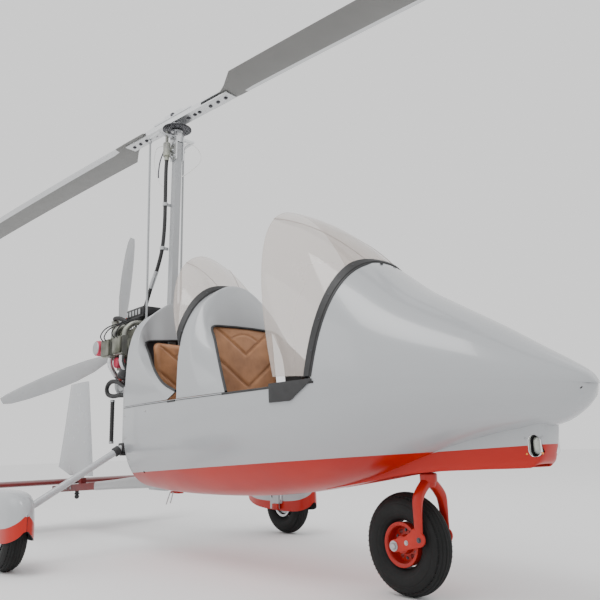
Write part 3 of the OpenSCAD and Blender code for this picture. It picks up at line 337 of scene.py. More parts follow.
for f, dx in ((1, 0), (0.8, 0.5), (0.5, 0.9), (0.2, 1.1)):
    row = []
    for k in range(48):
        a = 7.5 * k; q = hood(2599.5, 90 - abs(90 - a)) if a <= 180 else low(2599.5, 90 - abs(90 - (a - 180))); c = at(LOW, 3, 2599.5)
        row.append(V(2599.5 + dx, f * (-1 if 90 < a < 270 else 1) * q[1], c + f * (q[2] - c)))
    R.append(row)
b.skin(R, 0).make("cowl_shell", "airframe", [WHITE, INNER], ["front_cowl", "nose_cap"], "white_gelcoat", 60)

def fairing(name, rear, crease, edge, bulge, nodes):
    U = [0, 0.1, 0.2, 0.3, 0.37, 0.4, 0.43] + [0.46 + 0.54 * k / 14 for k in range(15)]; g = []
    for u in U:
        row = []
        for j in range(-48, 49):
            v = j / 48; a, b, c = over(rear, v), over(crease, v), over(edge, v)
            if u < 0.4: p = lerp(a, b, u / 0.4)
            else:
                q = (u - 0.4) / 0.6
                p = b * (1 - q) ** 2 + 2 * q * (1 - q) * (b + 0.5 * (c - b) + 26 * V(1, 0.25 * (-1 if v < 0 else 1), 0.5) * (1 - abs(v))) + c * q * q if bulge else lerp(b, c, q)
            row.append(p)
        g.append(row)
    g = np.array(g); k = 5
    g[k, :, :] = g[k - 1] * 0.25 + g[k] * 0.5 + g[k + 1] * 0.25
    b = Bag().sheet(g, 6, 1, 0, 1); return b, g
b, g_mid = fairing("mid", MID_REAR, MID_CREASE, FRONT_EDGE, True, ["mid_fairing"])
b.make("mid_fairing_shell", "airframe", [WHITE, INNER], ["mid_fairing"], "white_gelcoat", 50)
b, g_tail = fairing("rear", TAIL_EDGE, TAIL_CREASE, REAR_EDGE, False, ["rear_fairing"])
b.make("rear_fairing_shell", "airframe", [WHITE, INNER], ["rear_fairing"], "white_gelcoat", 50)
# Half-width of the hull at station x
def side_y(x, z):
    return at(LOW, 1, x)
tb = Bag()
# Black edging round both cockpit openings
for P, r in ((FRONT_EDGE, 6.5), (REAR_EDGE, 6.5)):
    tb.tube([over(P, v) + V(1, 0, 1.5) for v in np.linspace(-1, 1, 41)], r, 0, 10, 2)
for s in (-1, 1):
    for xa, xb in ((1060, 1660), (560, 640)):
        tb.tube([side(low(x, 0.5), s) + V(0, -2 * s, 4) for x in np.linspace(xa, xb, 14)], 5.5, 0, 10, 2)
tb.make("cockpit_edging", "airframe", [RUBBER], [], "black_rubber")
# Sill line, its small screws and marks on the hull
tb = Bag()
for s in (-1, 1):
    tb.tube([low_at(x, 806) * V(1, s, 1) + V(0, 0.4 * s, 0) for x in np.linspace(-30, 1395, 50)], 1.6, 1, 8, 1)
    for x, z in ((300, 772), (-12, 640), (-12, 760), (-12, 520)):
        p = low_at(x, z); tb.screw(V(p[0], s * p[1], p[2]), (0, s, 0), 5, 3, 0)
    p = low_at(150, 452); tb.box((146, s * (p[1] - 4), 446), (156, s * (p[1] + 3), 476), 1, 1.5)
for s in (-1, 1):
    q = top(1752, 84); tb.screw(V(q[0] + 12, s * q[1], q[2]), (0.5, 0, 0.85), 7, 5, 1)
p = low(2572, 12); tb.lathe([(0, -3), (9, -3), (9, 1.2), (6, 2), (0, 2)], (p[0] - 4, -p[1] + 1, p[2]), (0.55, -0.83, 0), 1, 20)
tb.make("hull_marks", "airframe", [STEEL, RUBBER], [], "black_rubber")

# ---- nose keel box with its light -----------------------------------------------------------
BX, BB = 2374, 62
def under(x, y):
    w, zb, zw, n = at(LOW, 1, x), at(LOW, 2, x), at(LOW, 3, x), at(LOW, 4, x)
    return zw - (zw - zb) * (1 - min(abs(y) / w, 1) ** n) ** (1 / n) + 2
plan = [(lerp(1400, BX, i / 24), -BB) for i in range(25)] + [(BX + BB * sin(q) ** 0.5, -BB * math.copysign(abs(cos(q)) ** 0.5, cos(q))) for q in list(np.linspace(1, 20, 8)) + list(np.linspace(26, 154, 19)) + list(np.linspace(160, 179, 8))] + [(lerp(1400, BX, i / 24), BB) for i in range(24, -1, -1)]
HR = [0, 0.03, 0.07, 0.12, 0.2, 0.35, 0.5]; HW = [0.5, 0.6, 0.7, 0.85, 1.0]
def chin(x, y, u, zl):
    zb, zt = at(KEEL, 1, x), max(under(x, y), at(KEEL, 1, x) + 3)
    zl = min(max(zl, zb + 1), zt - 1)
    z = lerp(zb, zl, u / 0.5) if u <= 0.5 else lerp(zl, zt, (u - 0.5) / 0.5)
    uu = (z - zb) / (zt - zb); rr = max(0, 1 - u / 0.12) if u < 0.12 else 0
    f = 1 - 0.09 * rr ** 2
    return V(x - 30 * (1 - uu) ** 1.6 * max(x - BX, 0) / BB - 10 * rr ** 2 * max(x - BX, 0) / BB, y * f, z)
for nm, H, m_, nodes in (("keel_box_red", HR, RED, ["nose_keel_box"]), ("keel_box_white", HW, WHITE, [])):
    g = [[chin(x, y, u, belly(x)) for (x, y) in plan] for u in H]
    b = Bag().sheet(g, 5, -1, 0, 0)
    if nm == "keel_box_red":
        gb = [[chin(x, q * BB * (1 if x <= BX else max(0, 1 - ((x - BX) / BB) ** 4) ** 0.25), 0, belly(x)) for q in np.linspace(-1, 1, 7)] for x in [lerp(1400, BX + BB - 0.4, i / 40) for i in range(41)]]
        b.sheet(gb, 5, -1, 0, 0)
    o = b.make(nm, "airframe", [m_, INNER], nodes, "red_gelcoat" if m_ is RED else "white_gelcoat", 55)
    cut = bpy.data.objects.new("cutter", bpy.data.meshes.new("cutter")); bpy.context.scene.collection.objects.link(cut)
    bmc = bmesh.new(); ring = []
    for y in (-0.2, 0.2):
        ring.append([bmc.verts.new((2.396 + 0.0225 * math.cos(t), y, 0.551 + 0.0225 * math.sin(t) + (0.014 if math.sin(t) >= 0 else -0.014))) for t in [2 * math.pi * (k + 0.5) / 40 for k in range(40)]])
    for k in range(40): bmc.faces.new((ring[0][k], ring[0][(k + 1) % 40], ring[1][(k + 1) % 40], ring[1][k]))
    bmc.faces.new(ring[0][::-1]); bmc.faces.new(ring[1]); bmesh.ops.recalc_face_normals(bmc, faces=bmc.faces); bmc.to_mesh(cut.data); bmc.free()
    md = o.modifiers.new("slot", "BOOLEAN"); md.object = cut; md.operation = "DIFFERENCE"; md.solver = "EXACT"
    bpy.context.view_layer.update(); dg = bpy.context.evaluated_depsgraph_get()
    me = bpy.data.meshes.new_from_object(o.evaluated_get(dg)); o.modifiers.clear(); o.data = me
    bpy.data.objects.remove(cut)
def oval(rx, k=48):
    return [(rx * math.cos(t), rx * math.sin(t) + (14 if math.sin(t) >= 0 else -14)) for t in [2 * math.pi * (i + 0.5) / k for i in range(k)]]
b = Bag()
R = [[V(2396 + x, y, 551 + z) for (x, z) in oval(r)] for (r, y) in ((19.4, -44), (19.4, -56), (20.4, -61), (21.8, -61.8), (22.6, -60.6), (22.4, -54), (20, -44))]
for s in (1, -1):
    Rs = [[V(p[0], s * p[1], p[2]) for p in r] for r in R]; b.skin(Rs + [Rs[0]], 0, cap=False)
b.skin([[V(2396 + x, y, 551 + z) for (x, z) in oval(19)] for y in (-50, 50)], 3, cap=False)
b.skin([[V(2396 + x * q, y, 551 + z * q) for (x, z) in oval(17)] for (q, y) in ((1, -34), (0.97, -40), (0.8, -43), (0.5, -44.5), (0.15, -45))], 1)
b.skin([[V(2396 + x * q, y, 551 + z * q) for (x, z) in oval(17)] for (q, y) in ((1, 34), (0.97, 40), (0.8, 43), (0.5, 44.5), (0.15, 45))], 1)
for s in (-1, 1):
    for dx, dz in ((-30, 24), (26, 26), (-28, -26), (24, -24)):
        if s > 0 and dx > 0: continue
        yy = BB * (1 - (max(dx + 22, 0) / BB) ** 4) ** 0.25 - 0.5
        b.screw((2396 + dx, s * yy, 551 + dz), (0.3, s, 0), 3.6, 3, 2 if dz > 0 else 4)
b.make("nose_light", "airframe", [CHROME, LENS, STEEL, RUBBER, AMBER], ["nose_light_tube"], "chrome_trim", 60)

# ---- windshields -----------------------------------------------------------------------------
def screen_f(s, v):
    a = 90 - 88.8 * abs(v); g_ = -1 if v < 0 else 1; p = top(cowl_x(a) - 4, a); b0 = V(p[0] - 1.5, g_ * p[1], p[2] + 4)
    z = 822 + 882 * sin(a) ** (2 / 2.3); f = V(1415 - 235 * (z - 822) / 882, g_ * 352 * cos(a) ** (2 / 2.3), z)
    return lerp(b0, f, s) + 4 * s * (1 - s) * V(12, 4 * g_ * cos(a), 34 * sin(a))
def screen_r(s, v):
    a = 90 * (1 - abs(v)); g_ = -1 if v < 0 else 1; b0 = over(MID_REAR, v * 0.62) + V(-7, 0, 4.2)
    z = 1085 + 591 * sin(a) ** (2 / 1.9); f = V(624 - 284 * (z - 1085) / 591, g_ * 336 * cos(a) ** (2 / 1.9), z)
    return lerp(b0, f, s) + 4 * s * (1 - s) * V(0, 3 * g_ * cos(a), 22 * sin(a))
def edge_pack(n):
    """Evenly spaced positions from -1 to 1."""
    return [math.copysign(abs(t) ** 1.0, t) for t in np.linspace(-1, 1, n)]
for nm, fn, nodes in (("front_screen", screen_f, ["front_windshield"]), ("rear_screen", screen_r, ["rear_windshield"])):
    g = [[fn(s, v) for v in edge_pack(61)] for s in np.linspace(0, 1, 25)]
    Bag().sheet(g, 4, -1, 0, 0).make(nm, "airframe", [SCREEN], nodes, "tinted_screen", 60)
b = Bag()
for fn, v0, s0, s1 in ((screen_f, -0.27, 0.0, 1.0), (screen_f, 0.27, 0.0, 1.0), (screen_r, -0.3, 0.05, 1.0), (screen_r, 0.3, 0.05, 1.0)):
    b.tube([fn(s, v0 * (0.55 + 0.45 * s)) + V(0, 0, 1.5) for s in np.linspace(s0, s1, 20)], 1.8, 0, 8, 1)
b.make("screen_creases", "airframe", [SCREEN_LINE], [], "tinted_screen")
def strip(fn, wid, lift, vs, lead=0):
    """Band along a windshield's base, wid(v) wide, lift mm proud."""
    G = []
    for v in vs:
        a0, a1 = fn(0, v), fn(1, v); L = np.linalg.norm(a1 - a0); w = wid(v)
        n = unit(np.cross(fn(0.05, v) - fn(0, v), fn(0, min(v + 0.01, 1)) - fn(0, max(v - 0.01, -1))))
        if n[2] < 0 or (abs(n[2]) < 0.15 and n[1] * v < 0): n = -n
        G.append([fn(0, v) - unit(fn(0.05, v) - fn(0, v)) * lead + n * lift * 0.4] + [fn(min(w / L, 0.9) * q, v) + n * lift * (1 if 0 < q < 1 else 0.35) for q in (0, 0.06, 0.25, 0.5, 0.75, 0.94, 1)])
    return G
b = Bag()
b.sheet(strip(screen_f, lambda v: 14 + 24 * smooth(0.0, 0.35, abs(v)), 5, np.linspace(-1, 1, 81), 10), 3, 1, 0)
b.sheet(strip(screen_r, lambda v: 12 + 24 * smooth(0.0, 0.4, abs(v)), 5, np.linspace(-1, 1, 71), 6), 3, 1, 0)
for s in (-1, 1):
    # Corner plates below the front windshield
    G = []
    for i in range(21):
        x = lerp(1400, 1652, i / 20); zt = 824; zb = 746 if x < 1530 else lerp(746, 818, (x - 1530) / 122)
        G.append([low_at(x, lerp(zb, min(zt, 811.5), j / 6)) * V(1, s, 1) + V(0, s * (3.5 if 0 < i < 20 else 1.2), 0) for j in range(7)] + [V(x, s * (at(LOW, 1, x) + 2), zt)])
    b.sheet(G, 3, s, 0)
b.make("screen_trim", "airframe", [RUBBER], [], "black_rubber", 45)
b = Bag()
for fn, vs in ((screen_f, (-0.9, -0.75, -0.6, -0.45, -0.3, 0.3, 0.45, 0.6, 0.75, 0.9)), (screen_r, (-0.85, -0.6, -0.35, 0.35, 0.6, 0.85))):
    for v in vs:
        p, q = fn(0.03, v), fn(0.03, v + 0.01); n = unit(np.cross(fn(0.08, v) - p, q - p)); n = n if n[2] > 0 or n[1] * v > 0 else -n
        b.screw(p + n * 4, n, 4, 3, 0)
b.make("trim_screws", "airframe", [DSTEEL], [], "dark_steel")

# ---- cabin ------------------------------------------------------------------------------------
def pad_form(L, W, H, lines, crown=0.5, n=96):
    """Upholstered pad: length along x, width along y, crowned in z, sides drawn in between the corners. lines: (depth, width, points in u, v) grooves."""
    def groove(u, v):
        d = 0
        for dep, wid, pts in lines:
            best = 9e9
            for (a, b_) in zip(pts[:-1], pts[1:]):
                ax, ay, bx, by = a[0] * L / 2, a[1] * W / 2, b_[0] * L / 2, b_[1] * W / 2; px, py = u * L / 2, v * W / 2
                t = min(max(((px - ax) * (bx - ax) + (py - ay) * (by - ay)) / max((bx - ax) ** 2 + (by - ay) ** 2, 1e-6), 0), 1)
                best = min(best, math.hypot(px - ax - t * (bx - ax), py - ay - t * (by - ay)))
            d = max(d, dep * math.exp(-(best / wid) ** 2))
        return d
    T, Bt = [], []
    for i in range(n + 1):
        for j in range(n + 1):
            u, v = -math.cos(math.pi * i / n), -math.cos(math.pi * j / n)
            u = 0.6 * u + 0.4 * (2 * i / n - 1); v = 0.6 * v + 0.4 * (2 * j / n - 1)
            x = u * L / 2 * (1 - 0.022 * (1 - v * v)); y = v * W / 2 * (1 - 0.022 * (1 - u * u))
            r = 34.0; ex, ey = max(0, abs(u) * L / 2 - (L / 2 - r)) / r, max(0, abs(v) * W / 2 - (W / 2 - r)) / r
            e = math.hypot(ex, ey)
            if e > 1: x -= math.copysign((1 - 1 / e) * ex * r, u); y -= math.copysign((1 - 1 / e) * ey * r, v); e = 1
            rim = math.sqrt(max(0, 1 - e ** 2.2))
            c = 1 - crown * 0.34 * (u * u + v * v) / 2
            puff = 1.2 * math.sin(7 * u + 3 * v) + 1.1 * math.sin(5 * v - 4 * u)
            T.append((x, y, H / 2 * rim * c - (groove(u, v) - puff * 0.7) * rim)); Bt.append((x, y, -H / 2 * rim * 0.92))
    return T, Bt, n
def pad(bag, L, W, H, lines, M, mi=0, crown=0.5):
    T, Bt, n = pad_form(L, W, H, lines, crown); w = n + 1; o = len(bag.v); q = w * w
    bag.v += [M(V(*p)) for p in T] + [M(V(*p)) for p in Bt]
    for i in range(n):
        for j in range(n):
            a = i * w + j; bag.f.append((o + a, o + a + w, o + a + w + 1, o + a + 1)); bag.m.append(mi)
            bag.f.append((o + q + a, o + q + a + 1, o + q + a + w + 1, o + q + a + w)); bag.m.append(mi)
    edge = [j for j in range(n)] + [i * w + n for i in range(n)] + [n * w + j for j in range(n, 0, -1)] + [i * w for i in range(n, 0, -1)]
    ring = [M(V(*T[e]) * V(1.004, 1.004, 0)) for e in edge[::2]]
    bag.tube(ring + [ring[0], ring[1]], 3.2, mi, 8, 1)
    return bag
def stitches(bag, L, W, H, pts, M, mi, off=4.5, crown=0.5):
    for (a, b_) in zip(pts[:-1], pts[1:]):
        A_, B_ = V(a[0] * L / 2, a[1] * W / 2, 0), V(b_[0] * L / 2, b_[1] * W / 2, 0); d = B_ - A_; Ln = np.linalg.norm(d); d = d / Ln; nrm = V(-d[1], d[0], 0)
        for k in range(int(Ln // 9)):
            for sg in (-1, 1):
                p = A_ + d * (9 * k + 2) + nrm * off * sg; q = p + d * 5.4
                def hz(r):
                    u, v = r[0] / (L / 2), r[1] / (W / 2); return H / 2 * (1 - crown * 0.34 * (u * u + v * v) / 2)
                bag.tube([M(V(p[0], p[1], hz(p) - 4.4)), M(V((p[0] + q[0]) / 2, (p[1] + q[1]) / 2, hz(p) - 2.6)), M(V(q[0], q[1], hz(q) - 4.4))], 0.8, mi, 5, 2)
VEE = [[(0.99, -0.95), (0.5, 0.0), (0.99, 0.95)], [(0.44, -0.96), (-0.06, 0.0), (0.44, 0.96)], [(-0.12, -0.96), (-0.6, 0.0), (-0.12, 0.96)]]
ARC = [(0.76 + 0.09 * (1 - (k / 6) ** 2), 0.38 * k / 6) for k in range(-6, 7)]
def back(x0, z0, tilt, ln, wd, th, cz):
    a = -tilt * DEG
    def M(p):
        lx, lz = p[0] + ln / 2, p[2] + cz
        return V(x0 + lx * math.cos(a) + lz * math.sin(a), p[1], z0 - lx * math.sin(a) + lz * math.cos(a))
    return M
def cushion(x0, ln):
    return lambda p: V(x0 + ln / 2 + p[0], p[1], 570 + 42.5 + p[2] + 6 * (p[0] / ln))
seats = (("front_seat_back", 778, 572, 98, 640, 424, 66, 1), ("rear_seat_back", 185, 574, 95.3, 604, 424, 60, 0))
for nm, x0, z0, tilt, ln, wd, th, cz in seats:
    M0 = back(x0, z0, tilt, ln, wd, th, cz); Mf = lambda p, M0=M0: M0(V(p[0], p[1], -p[2]))
    bk = Bag(); lines = [(6.5, 7, q) for q in VEE] + [(4.5, 5, ARC)]
    pad(bk, ln - 6, wd - 6, th, lines, Mf)
    for q in VEE: stitches(bk, ln - 6, wd - 6, th, q, Mf, 1)
    o = bk.make(nm + "_leather", "airframe", [TAN, SEAMT], [nm], "tan_leather", 70)
for nm, x0, ln in (("front_seat_cushion", 822, 420), ("rear_seat_cushion", 220, 375)):
    M = cushion(x0, ln); bk = Bag()
    L2 = [[(-0.9, -0.55), (0.9, -0.55)], [(-0.9, 0.55), (0.9, 0.55)], [(-0.25, -0.55), (-0.25, 0.55)], [(0.35, -0.55), (0.35, 0.55)]]
    pad(bk, ln - 4, 416, 82, [(6, 8, q) for q in L2], M)
    for q in L2[:2]: stitches(bk, ln - 4, 416, 82, q, M, 1)
    o = bk.make(nm + "_leather", "airframe", [TAN, SEAMT], [nm], "tan_leather", 70)

# Floor, panel, sticks and pedals take finishes on the CAD pieces; dials, grips and small things are added
N = frame["nodes"]
def finish_node(node, m, slot=None, bevel=None):
    o = N[node]; o.data.materials.clear(); o.data.materials.append(m)
    if bevel:
        md = o.modifiers.new("edge", "BEVEL"); md.width = bevel * 0.001; md.segments = 2; md.limit_method = "ANGLE"; md.angle_limit = 40 * DEG; md.harden_normals = False
for node, m, bv in (("firewall", DSTEEL, 1), ("cabin_floor", DARK, 1), ("instrument_panel", BLACK, 1.5), ("cabin_controls", BLACK, 1), ("seat_boxes", DARK, 4),
    ("keel_beam", STEEL, 2), ("mast", GPAINT, 3), ("mast_head", ALU, 1.5), ("rotor_head", ALU, 2), ("prerotator_drive", CAST, 1.5), ("control_rods", GPAINT, 0.5),
    ("rotor_spindle", STEEL, 1), ("ring_gear", DSTEEL, 0.8), ("rotor_hub_bar", ALU, 1.2), ("engine_block", OLIVE, 5), ("engine_cylinders", CAST, 3), ("engine_mount", DSTEEL, 0.5),
    ("gearbox", CAST, 4), ("exhaust", STEEL, 2), ("radiator", RADM, 3), ("propeller_hub", DSTEEL, 2), ("gear_legs", WPAINT, 1), ("main_axles", STEEL, 1.5),
    ("left_main_wheel", ALU, 1.2), ("right_main_wheel", ALU, 1.2), ("nose_wheel", REDP, 1.2), ("tail_boom_end", DRED, 3), ("tail_skid", RUBBER, 0.5)):
    finish_node(node, m, bevel=bv)

b = Bag()
for y, z, r in [(yy, 1020, 39) for yy in (-150, -50, 50, 150)] + [(yy, 1115, 28) for yy in (-60, 60)]:
    b.lathe([(0, 0), (r - 4, 0)], (1611, y, z), (-1, 0, 0), 0, 40)
    b.lathe([(r - 4, 0), (r - 4, 8), (r - 1, 11), (r + 3, 10), (r + 5, 6), (r + 5, 4)], (1611, y, z), (-1, 0, 0), 1, 40)
    for k in range(12):
        a = 2 * math.pi * k / 12 if k else 0; c, s_ = math.cos(a), math.sin(a)
        b.box((-0.6, -1, r - 12), (0.6, 1, r - 6), 2, 0.3, T=lambda p, c=c, s_=s_, y=y, z=z: V(1609.5 + p[0], y + p[1] * c - p[2] * s_, z + p[1] * s_ + p[2] * c))
    an = random.uniform(0.4, 5.6); c, s_ = math.cos(an), math.sin(an)
    b.box((-0.5, -1.1, -4), (0.5, 1.1, r - 13), 2, 0.3, T=lambda p, c=c, s_=s_, y=y, z=z: V(1608 + p[0], y + p[1] * c - p[2] * s_, z + p[1] * s_ + p[2] * c))
for k in range(8):
    y = -140 + 40 * k; b.rod((1606, y, 905), (1594, y, 905), 5, 1, 14); b.rod((1594, y, 905), (1580, y, 911), 2.4, 3, 10)
b.make("dials", "airframe", [DIAL, BLACK, TICK, CHROME])
b = Bag()
for x in (1290, 655):
    z0 = 545 if x > 1000 else 494; p0, p1 = V(x - 44, 0, z0 + 228), V(x - 75, 0, z0 + 332)
    b.tube([lerp(p0, p1, t) for t in np.linspace(0, 1, 9)] + [p1 + V(-3, 0, 10)], lambda t: 15.5 + 1.6 * math.cos(26 * t) + (3 if t > 0.9 else 0), 0, 18, 4)
    b.tube([V(x, 0, z0 + 2), V(x, 0, z0 + 18), V(x, 0, z0 + 46)], lambda t: 40 - 26 * t + 3.4 * math.cos(30 * t), 1, 24, 10)
b.make("stick_grips", "airframe", [BLACK, RUBBER])

# ---- tail boom --------------------------------------------------------------------------
B4 = [[-43, 396, 34, 42], [-250, 380, 34, 40], [-500, 364, 33, 36], [-750, 348, 31, 31], [-1022, 331, 29, 29]]
R = []
for x in np.linspace(-43, -1022, 34):
    c, hw, hh = at([[-r[0]] + r[1:] for r in B4], 1, -x), at([[-r[0]] + r[1:] for r in B4], 2, -x), at([[-r[0]] + r[1:] for r in B4], 3, -x)
    R.append([V(x, hw * math.copysign(abs(cos(q)) ** 0.5, cos(q)), c + hh * math.copysign(abs(sin(q)) ** 0.5, sin(q))) for q in np.arange(4, 364, 8)])
b = Bag().skin(R, 0)
for x in (-1000, -960):
    for s in (-1, 1): b.screw((x, s * 29.5, 333), (0, s, 0), 5, 3, 1)
b.make("tail_boom_fairing", "airframe", [GREYF, STEEL], ["tail_boom"], "grey_paint")
b = Bag()
for s in (-1, 1):
    for x in (-1440, -1520, -1700): b.bolt((x, s * 25.2, 331 - (abs(x) - 1024) * 0.058), (0, s, 0), 6.5, 5, 0)
b.lathe([(0, 0), (19, 0), (19, 7), (14, 10), (14, 26), (18, 30), (18, 36), (0, 37)], (-1380, 0, 262), (0, 0, 1), 1, 24)
b.make("boom_bolts", "airframe", [STEEL, RUBBER])

def wing(bag, S, n, mi=0, rows=None, k=18, div=6):
    n = V(*n); R = []
    for (a, b_) in zip(S[:-1], S[1:]):
        for t in np.linspace(0, 1, div + 1)[:-1]:
            le, c, th = lerp(V(*a[0]), V(*b_[0]), t), lerp(a[1], b_[1], t), lerp(a[2], b_[2], t)
            R.append([le + c * V(-q[0], 0, 0) + c * q[1] * n for q in foil(th, k)])
    le, c, th = V(*S[-1][0]), S[-1][1], S[-1][2]; R.append([le + c * V(-q[0], 0, 0) + c * q[1] * n for q in foil(th, k)])
    return bag.skin(R, mi, rows)
lead = lambda i, j, k=18: 1 if (j < 6 or j >= 2 * k - 6) else 0
b = wing(Bag(), [[[-1402, y, 352], 410, 0.095] for y in (-770, -385, 0, 385, 770)], (0, 0, -1), 0, lead)
b.make("stabilizer_skin", "airframe", [WPAINT, DRED], ["stabilizer"], "white_paint", 60)
b = Bag()
for s in (-1, 1):
    wing(b, [[[-1430, s * 792, 235], 330, 0.1], [[-1392, s * 792, 352], 430, 0.09], [[-1420, s * 792, 600], 375, 0.09], [[-1475, s * 792, 890], 270, 0.09]], (0, 1, 0))
    for z in (330, 374): b.screw((-1500, s * (792 + 19), z), (0, s, 0), 5, 3, 1); b.screw((-1650, s * (792 + 17), z), (0, s, 0), 5, 3, 1)
b.make("side_fin_skins", "airframe", [WPAINT, STEEL], ["side_fins"], "white_paint", 60)
b = wing(Bag(), [[[-1118, 0, 396], 405, 0.09], [[-1127, 0, 456], 619, 0.07], [[-1182, 0, 756], 474, 0.075], [[-1245, 0, 1080], 330, 0.08]], (0, 1, 0))
b.rod((-1290, 0, 318), (-1290, 0, 420), 12, 1, 24)
b.tube([V(-1260, 17, 470), V(-1300, 19, 466), V(-1340, 18, 470)], 4, 1, 8, 4)
b.make("rudder_skin", "rudder", [WPAINT, STEEL], ["rudder"], "white_paint", 60)

# ---- rotor ----------------------------------------------------------------------------------
HUB, TURN, TEET = 2680, 8.3, 1.3
def rot(p):
    x, y, z = p; x, z = x * cos(TEET) - z * sin(TEET), x * sin(TEET) + z * cos(TEET)
    return V(x * cos(TURN) - y * sin(TURN), x * sin(TURN) + y * cos(TURN), z + HUB)
b = Bag()
for m_ in (1, -1):
    R = []
    st = []
    for (p, q) in zip(BLADE[:-1], BLADE[1:]):
        k = max(2, int((q[0] - p[0]) / 110)); st += [[lerp(p[0], q[0], t), lerp(p[1] if p[1] > 1 else p[1] * 236, q[1] if q[1] > 1 else q[1] * 236, t), lerp(p[2], q[2], t)] for t in np.linspace(0, 1, k + 1)[:-1]]
    st.append([4200, 0.97 * 236, 12])
    for r, c, th in st:
        dz = -(0.0000074 * r * r if r > 545 else 0.0000074 * 545 * 545 * max(r - 522, 0) / 23)
        R.append([rot((m_ * r, m_ * (62 - c * q[0]), c * q[1] + dz)) for q in foil(th / c, 18)])
    b.skin(R, 0, rows=lambda i, j, n_=len(R): 1 if i >= n_ - 2 else (2 if (j < 4 or j >= 32) and i > 6 else 0))
b.make("rotor_blade_skins", "rotor", [BLADE_M, BLACK, ALU], ["rotor_blades"], "blade_grey", 60)
b = Bag()
for s in (-1, 1):
    for x in (330, 400, 470):
        for z, d in ((17.5, 1), (-17.5, -1)):
            c0, c1 = rot((s * x, 0, z)), rot((s * x, 0, z + d)); b.bolt(c0, c1 - c0, 9, 9 if d < 0 else 12, 1)
    for x in (120, 180, 225):
        c0, c1 = rot((s * x, 0, 29.5)), rot((s * x, 0, 30.5)); b.bolt(c0, c1 - c0, 9, 18 if x == 180 else 10, 1)
        c0, c1 = rot((s * x, 0, -17.5)), rot((s * x, 0, -18.5)); b.bolt(c0, c1 - c0, 9, 8, 1)
    c0, c1 = rot((0, s * 38, 34)), rot((0, s * 39, 34)); b.bolt(c0, c1 - c0, 12, 12, 1)
    b.box((s * 300, -37, 18), (s * 506, 37, 20.5), 0, 0.8, T=rot)
for k in range(72):
    a = 2 * math.pi * k / 72; c, s_ = math.cos(a), math.sin(a)
    b.box((88.5, -2.3, 2618.8), (93.5, 2.3, 2627.2), 2, 0.6, T=lambda p, c=c, s_=s_: V(p[0] * c - p[1] * s_, p[0] * s_ + p[1] * c, p[2]))
b.lathe([(80, 0), (86, 0), (86, 3), (80, 3)], (0, 0, 2628), (0, 0, 1), 3, 72)
b.lathe([(31, 0), (31, 5), (27, 7), (15.5, 7)], (0, 0, 2628), (0, 0, 1), 0, 40)
for k in range(12):
    a = 30 * k * DEG; b.lathe([(8.6, -0.3), (10.4, -0.3), (10.4, 1), (8.6, 1)], (64 * math.cos(a), 64 * math.sin(a), 2617.8), (0, 0, -1), 3, 20)
b.make("rotor_fittings", "rotor", [ALU, DSTEEL, BLACK, STEEL])
# Mast and head: plates' bolts, pinion, clips, cable loop
b = Bag()
for s in (-1, 1):
    for x, z in ((-14, 2425), (22, 2425), (0, 2470), (-24, 2560), (24, 2560), (4, 2520)): b.bolt((x, s * 29.7, z), (0, s, 0), 7, 7, 1)
    b.lathe([(0, 0), (11, 0), (13, 4), (13, 10), (9, 16), (0, 17)], (-117, -132 if s < 0 else 118, 2548), (0, 0, -1), 1, 20)
    b.bolt((-117, -139.2 if s < 0 else 125.2, 2563), (0, s, 0), 6, 6, 1)
b.lathe([(19, 0), (24, 4), (24, 22), (18, 26), (18, 60), (23, 66), (23, 74), (12, 80), (12, 90)], (-28, -58, 2430), (0, 0, 1), 0, 32)
for k in range(10):
    a = 2 * math.pi * k / 10; c, s_ = math.cos(a), math.sin(a)
    b.box((14.5, -2.2, 2577), (19.5, 2.2, 2600), 2, 0.5, T=lambda p, c=c, s_=s_: V(-28 + p[0] * c - p[1] * s_, -58 + p[0] * s_ + p[1] * c, p[2]))
for z in (2100, 1820):
    i_ = [p[2] for p in DRIVE].index(min([p[2] for p in DRIVE], key=lambda q: abs(q - z))); c = DRIVE[i_]
    b.lathe([(12.5, -11), (16, -11), (16, 11), (12.5, 11)], c, (0, 0, 1), 1, 24)
    b.box((c[0] - 5, c[1] + 12, c[2] - 9), (c[0] + 9, -20.5, c[2] + 9), 1, 1.5)
b.tube([V(20, 22, 2500), V(60, 60, 2520), V(92, 110, 2470), V(98, 120, 2400), V(60, 70, 2330), V(30, 24, 2290)], 2.6, 3, 8, 10)
b.tube([V(-40, -80, 2500), V(-70, -110, 2480), V(-92, -112, 2380), V(-60, -90, 2250), V(-30, -62, 2210)], 2.2, 3, 8, 10)
b.tube([V(-34, -74, 2470), V(-62, -86, 2400), V(-78, -88, 2330), V(-80, -86, 2290)], 4.2, 2, 8, 8)
b.make("mast_fittings", "airframe", [CAST, STEEL, DSTEEL, CABLE])
b = Bag()
b.tube(DRIVE, 12, 0, 16, 6)
P = catmull(DRIVE, 6)
b.tube(P[37:44], 14.5, 1, 18, 2)
b.make("flexible_drive", "airframe", [RUBBER, STEEL], ["prerotator_shaft"], "black_rubber")

